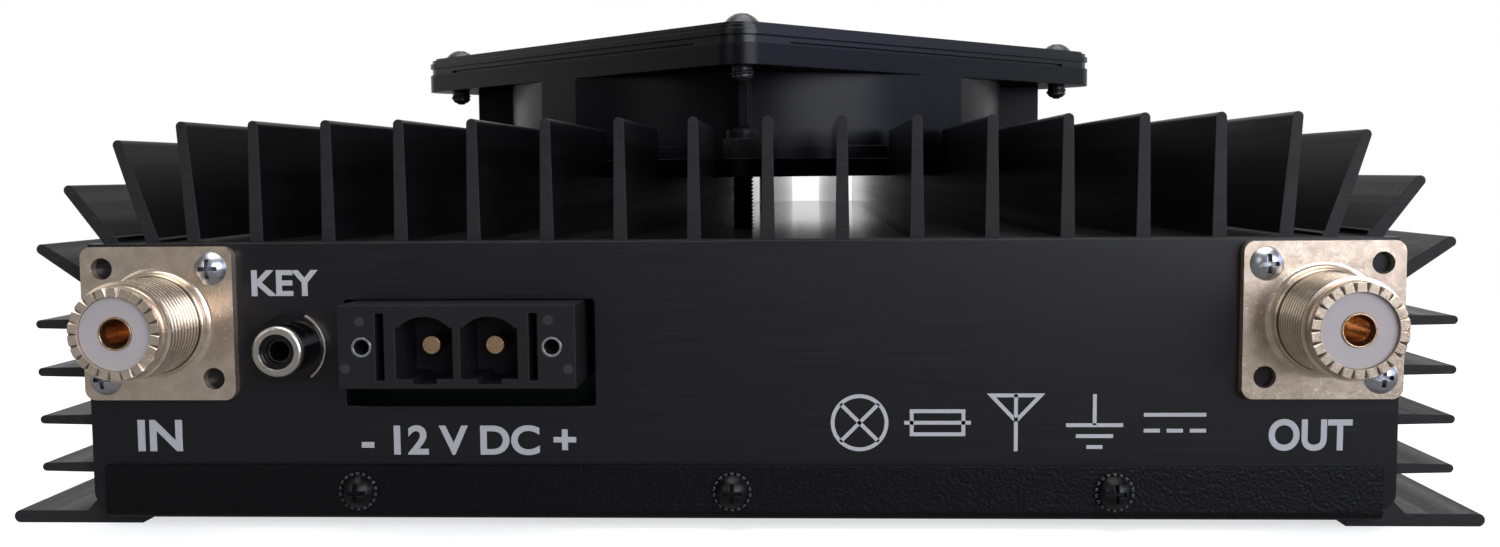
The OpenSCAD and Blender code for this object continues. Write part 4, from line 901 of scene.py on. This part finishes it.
# %% The symbol row
LOW, HIGH = 12.8, 22.2
MID = (LOW + HIGH) / 2
LAMP_X, FUSE_X, AERIAL_X, EARTH_X, DC_X = 20.9, 33.6, 46.3, 59.0, 71.9
LAMP_R = 4.4
SLANT = LAMP_R * math.sqrt(0.5)
FUSE_REACH, FUSE_RISE, WIRE_REACH = 4.2, 1.9, 5.4
FORK_REACH, FORK_TOP, FORK_FOOT = 4.0, HIGH - 0.2, MID + 0.3
EARTH_BARS = [(MID - 0.4, 4.6), (MID - 2.2, 3.0), (MID - 4.0, 1.3)]
DC_REACH, DC_RISE, DASH, DASH_GAP = 5.0, 1.3, 1.3, 2.4

fuse_box = [(FUSE_X - FUSE_REACH, MID - FUSE_RISE), (FUSE_X + FUSE_REACH, MID - FUSE_RISE),
            (FUSE_X + FUSE_REACH, MID + FUSE_RISE), (FUSE_X - FUSE_REACH, MID + FUSE_RISE)]
fork = [(AERIAL_X, FORK_FOOT), (AERIAL_X - FORK_REACH, FORK_TOP), (AERIAL_X + FORK_REACH, FORK_TOP),
        (AERIAL_X, FORK_FOOT)]
symbols = [
    ring(LAMP_X, MID, LAMP_R),
    line((LAMP_X - SLANT, MID - SLANT), (LAMP_X + SLANT, MID + SLANT)),
    line((LAMP_X - SLANT, MID + SLANT), (LAMP_X + SLANT, MID - SLANT)),
    ribbon(fuse_box, closed=True),
    bar(FUSE_X, MID, WIRE_REACH),
    line((AERIAL_X, LOW), (AERIAL_X, HIGH)),
    line(*fork),
    line((EARTH_X, HIGH), (EARTH_X, EARTH_BARS[0][0])),
    *[bar(EARTH_X, z, reach) for z, reach in EARTH_BARS],
    bar(DC_X, MID + DC_RISE, DC_REACH),
    line((DC_X - DC_REACH, MID - DC_RISE), (DC_X - DASH_GAP, MID - DC_RISE)),
    bar(DC_X, MID - DC_RISE, DASH),
    line((DC_X + DASH_GAP, MID - DC_RISE), (DC_X + DC_REACH, MID - DC_RISE)),
]
add_piece("connector_symbols", *stack(symbols), "printed_white")

# %% [markdown]
# The other end isn't in the photograph. Its buttons and lights get only plain numbers and ON/OFF, so that a
# user of the part can tell them apart. Each mark is set out from the box of the button or light it belongs
# to, so it follows the CAD.

# %% Marks at the control end
BUTTON_MARK, LIGHT_MARK = 2.8, 2.6
BELOW_POWER, BELOW_SMALL, BELOW_LIGHTS = 12.5, 10.0, 6.5
LIGHT_R, LIGHTS = 1.5, 6


def middle_of(name):
    """The middle of a node's box across the panel and up, in mm, as seen facing the control end."""
    low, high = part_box(name)
    return -(low[0] + high[0]) / 2 / MM, (low[2] + high[2]) / 2 / MM


def control_mark(text, at, drop, height):
    """A word centred under a point, with its foot at the given drop below it."""
    return word(text, at[1] - drop, height, middle=at[0], end="control")


power_at, mode_at, band_at = middle_of("power_button"), middle_of("mode_button"), middle_of("band_button")
lights_low, lights_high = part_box("status_lights")
light_x = np.linspace(-lights_high[0] / MM + LIGHT_R, -lights_low[0] / MM - LIGHT_R, LIGHTS)
marks = [control_mark("ON/OFF", power_at, BELOW_POWER, BUTTON_MARK),
         control_mark("1", mode_at, BELOW_SMALL, BUTTON_MARK),
         control_mark("2", band_at, BELOW_SMALL, BUTTON_MARK)]
marks += [control_mark(str(n), (x, power_at[1]), BELOW_LIGHTS, LIGHT_MARK)
          for n, x in enumerate(light_x, 1)]
add_piece("control_words", *stack(marks), "printed_white")
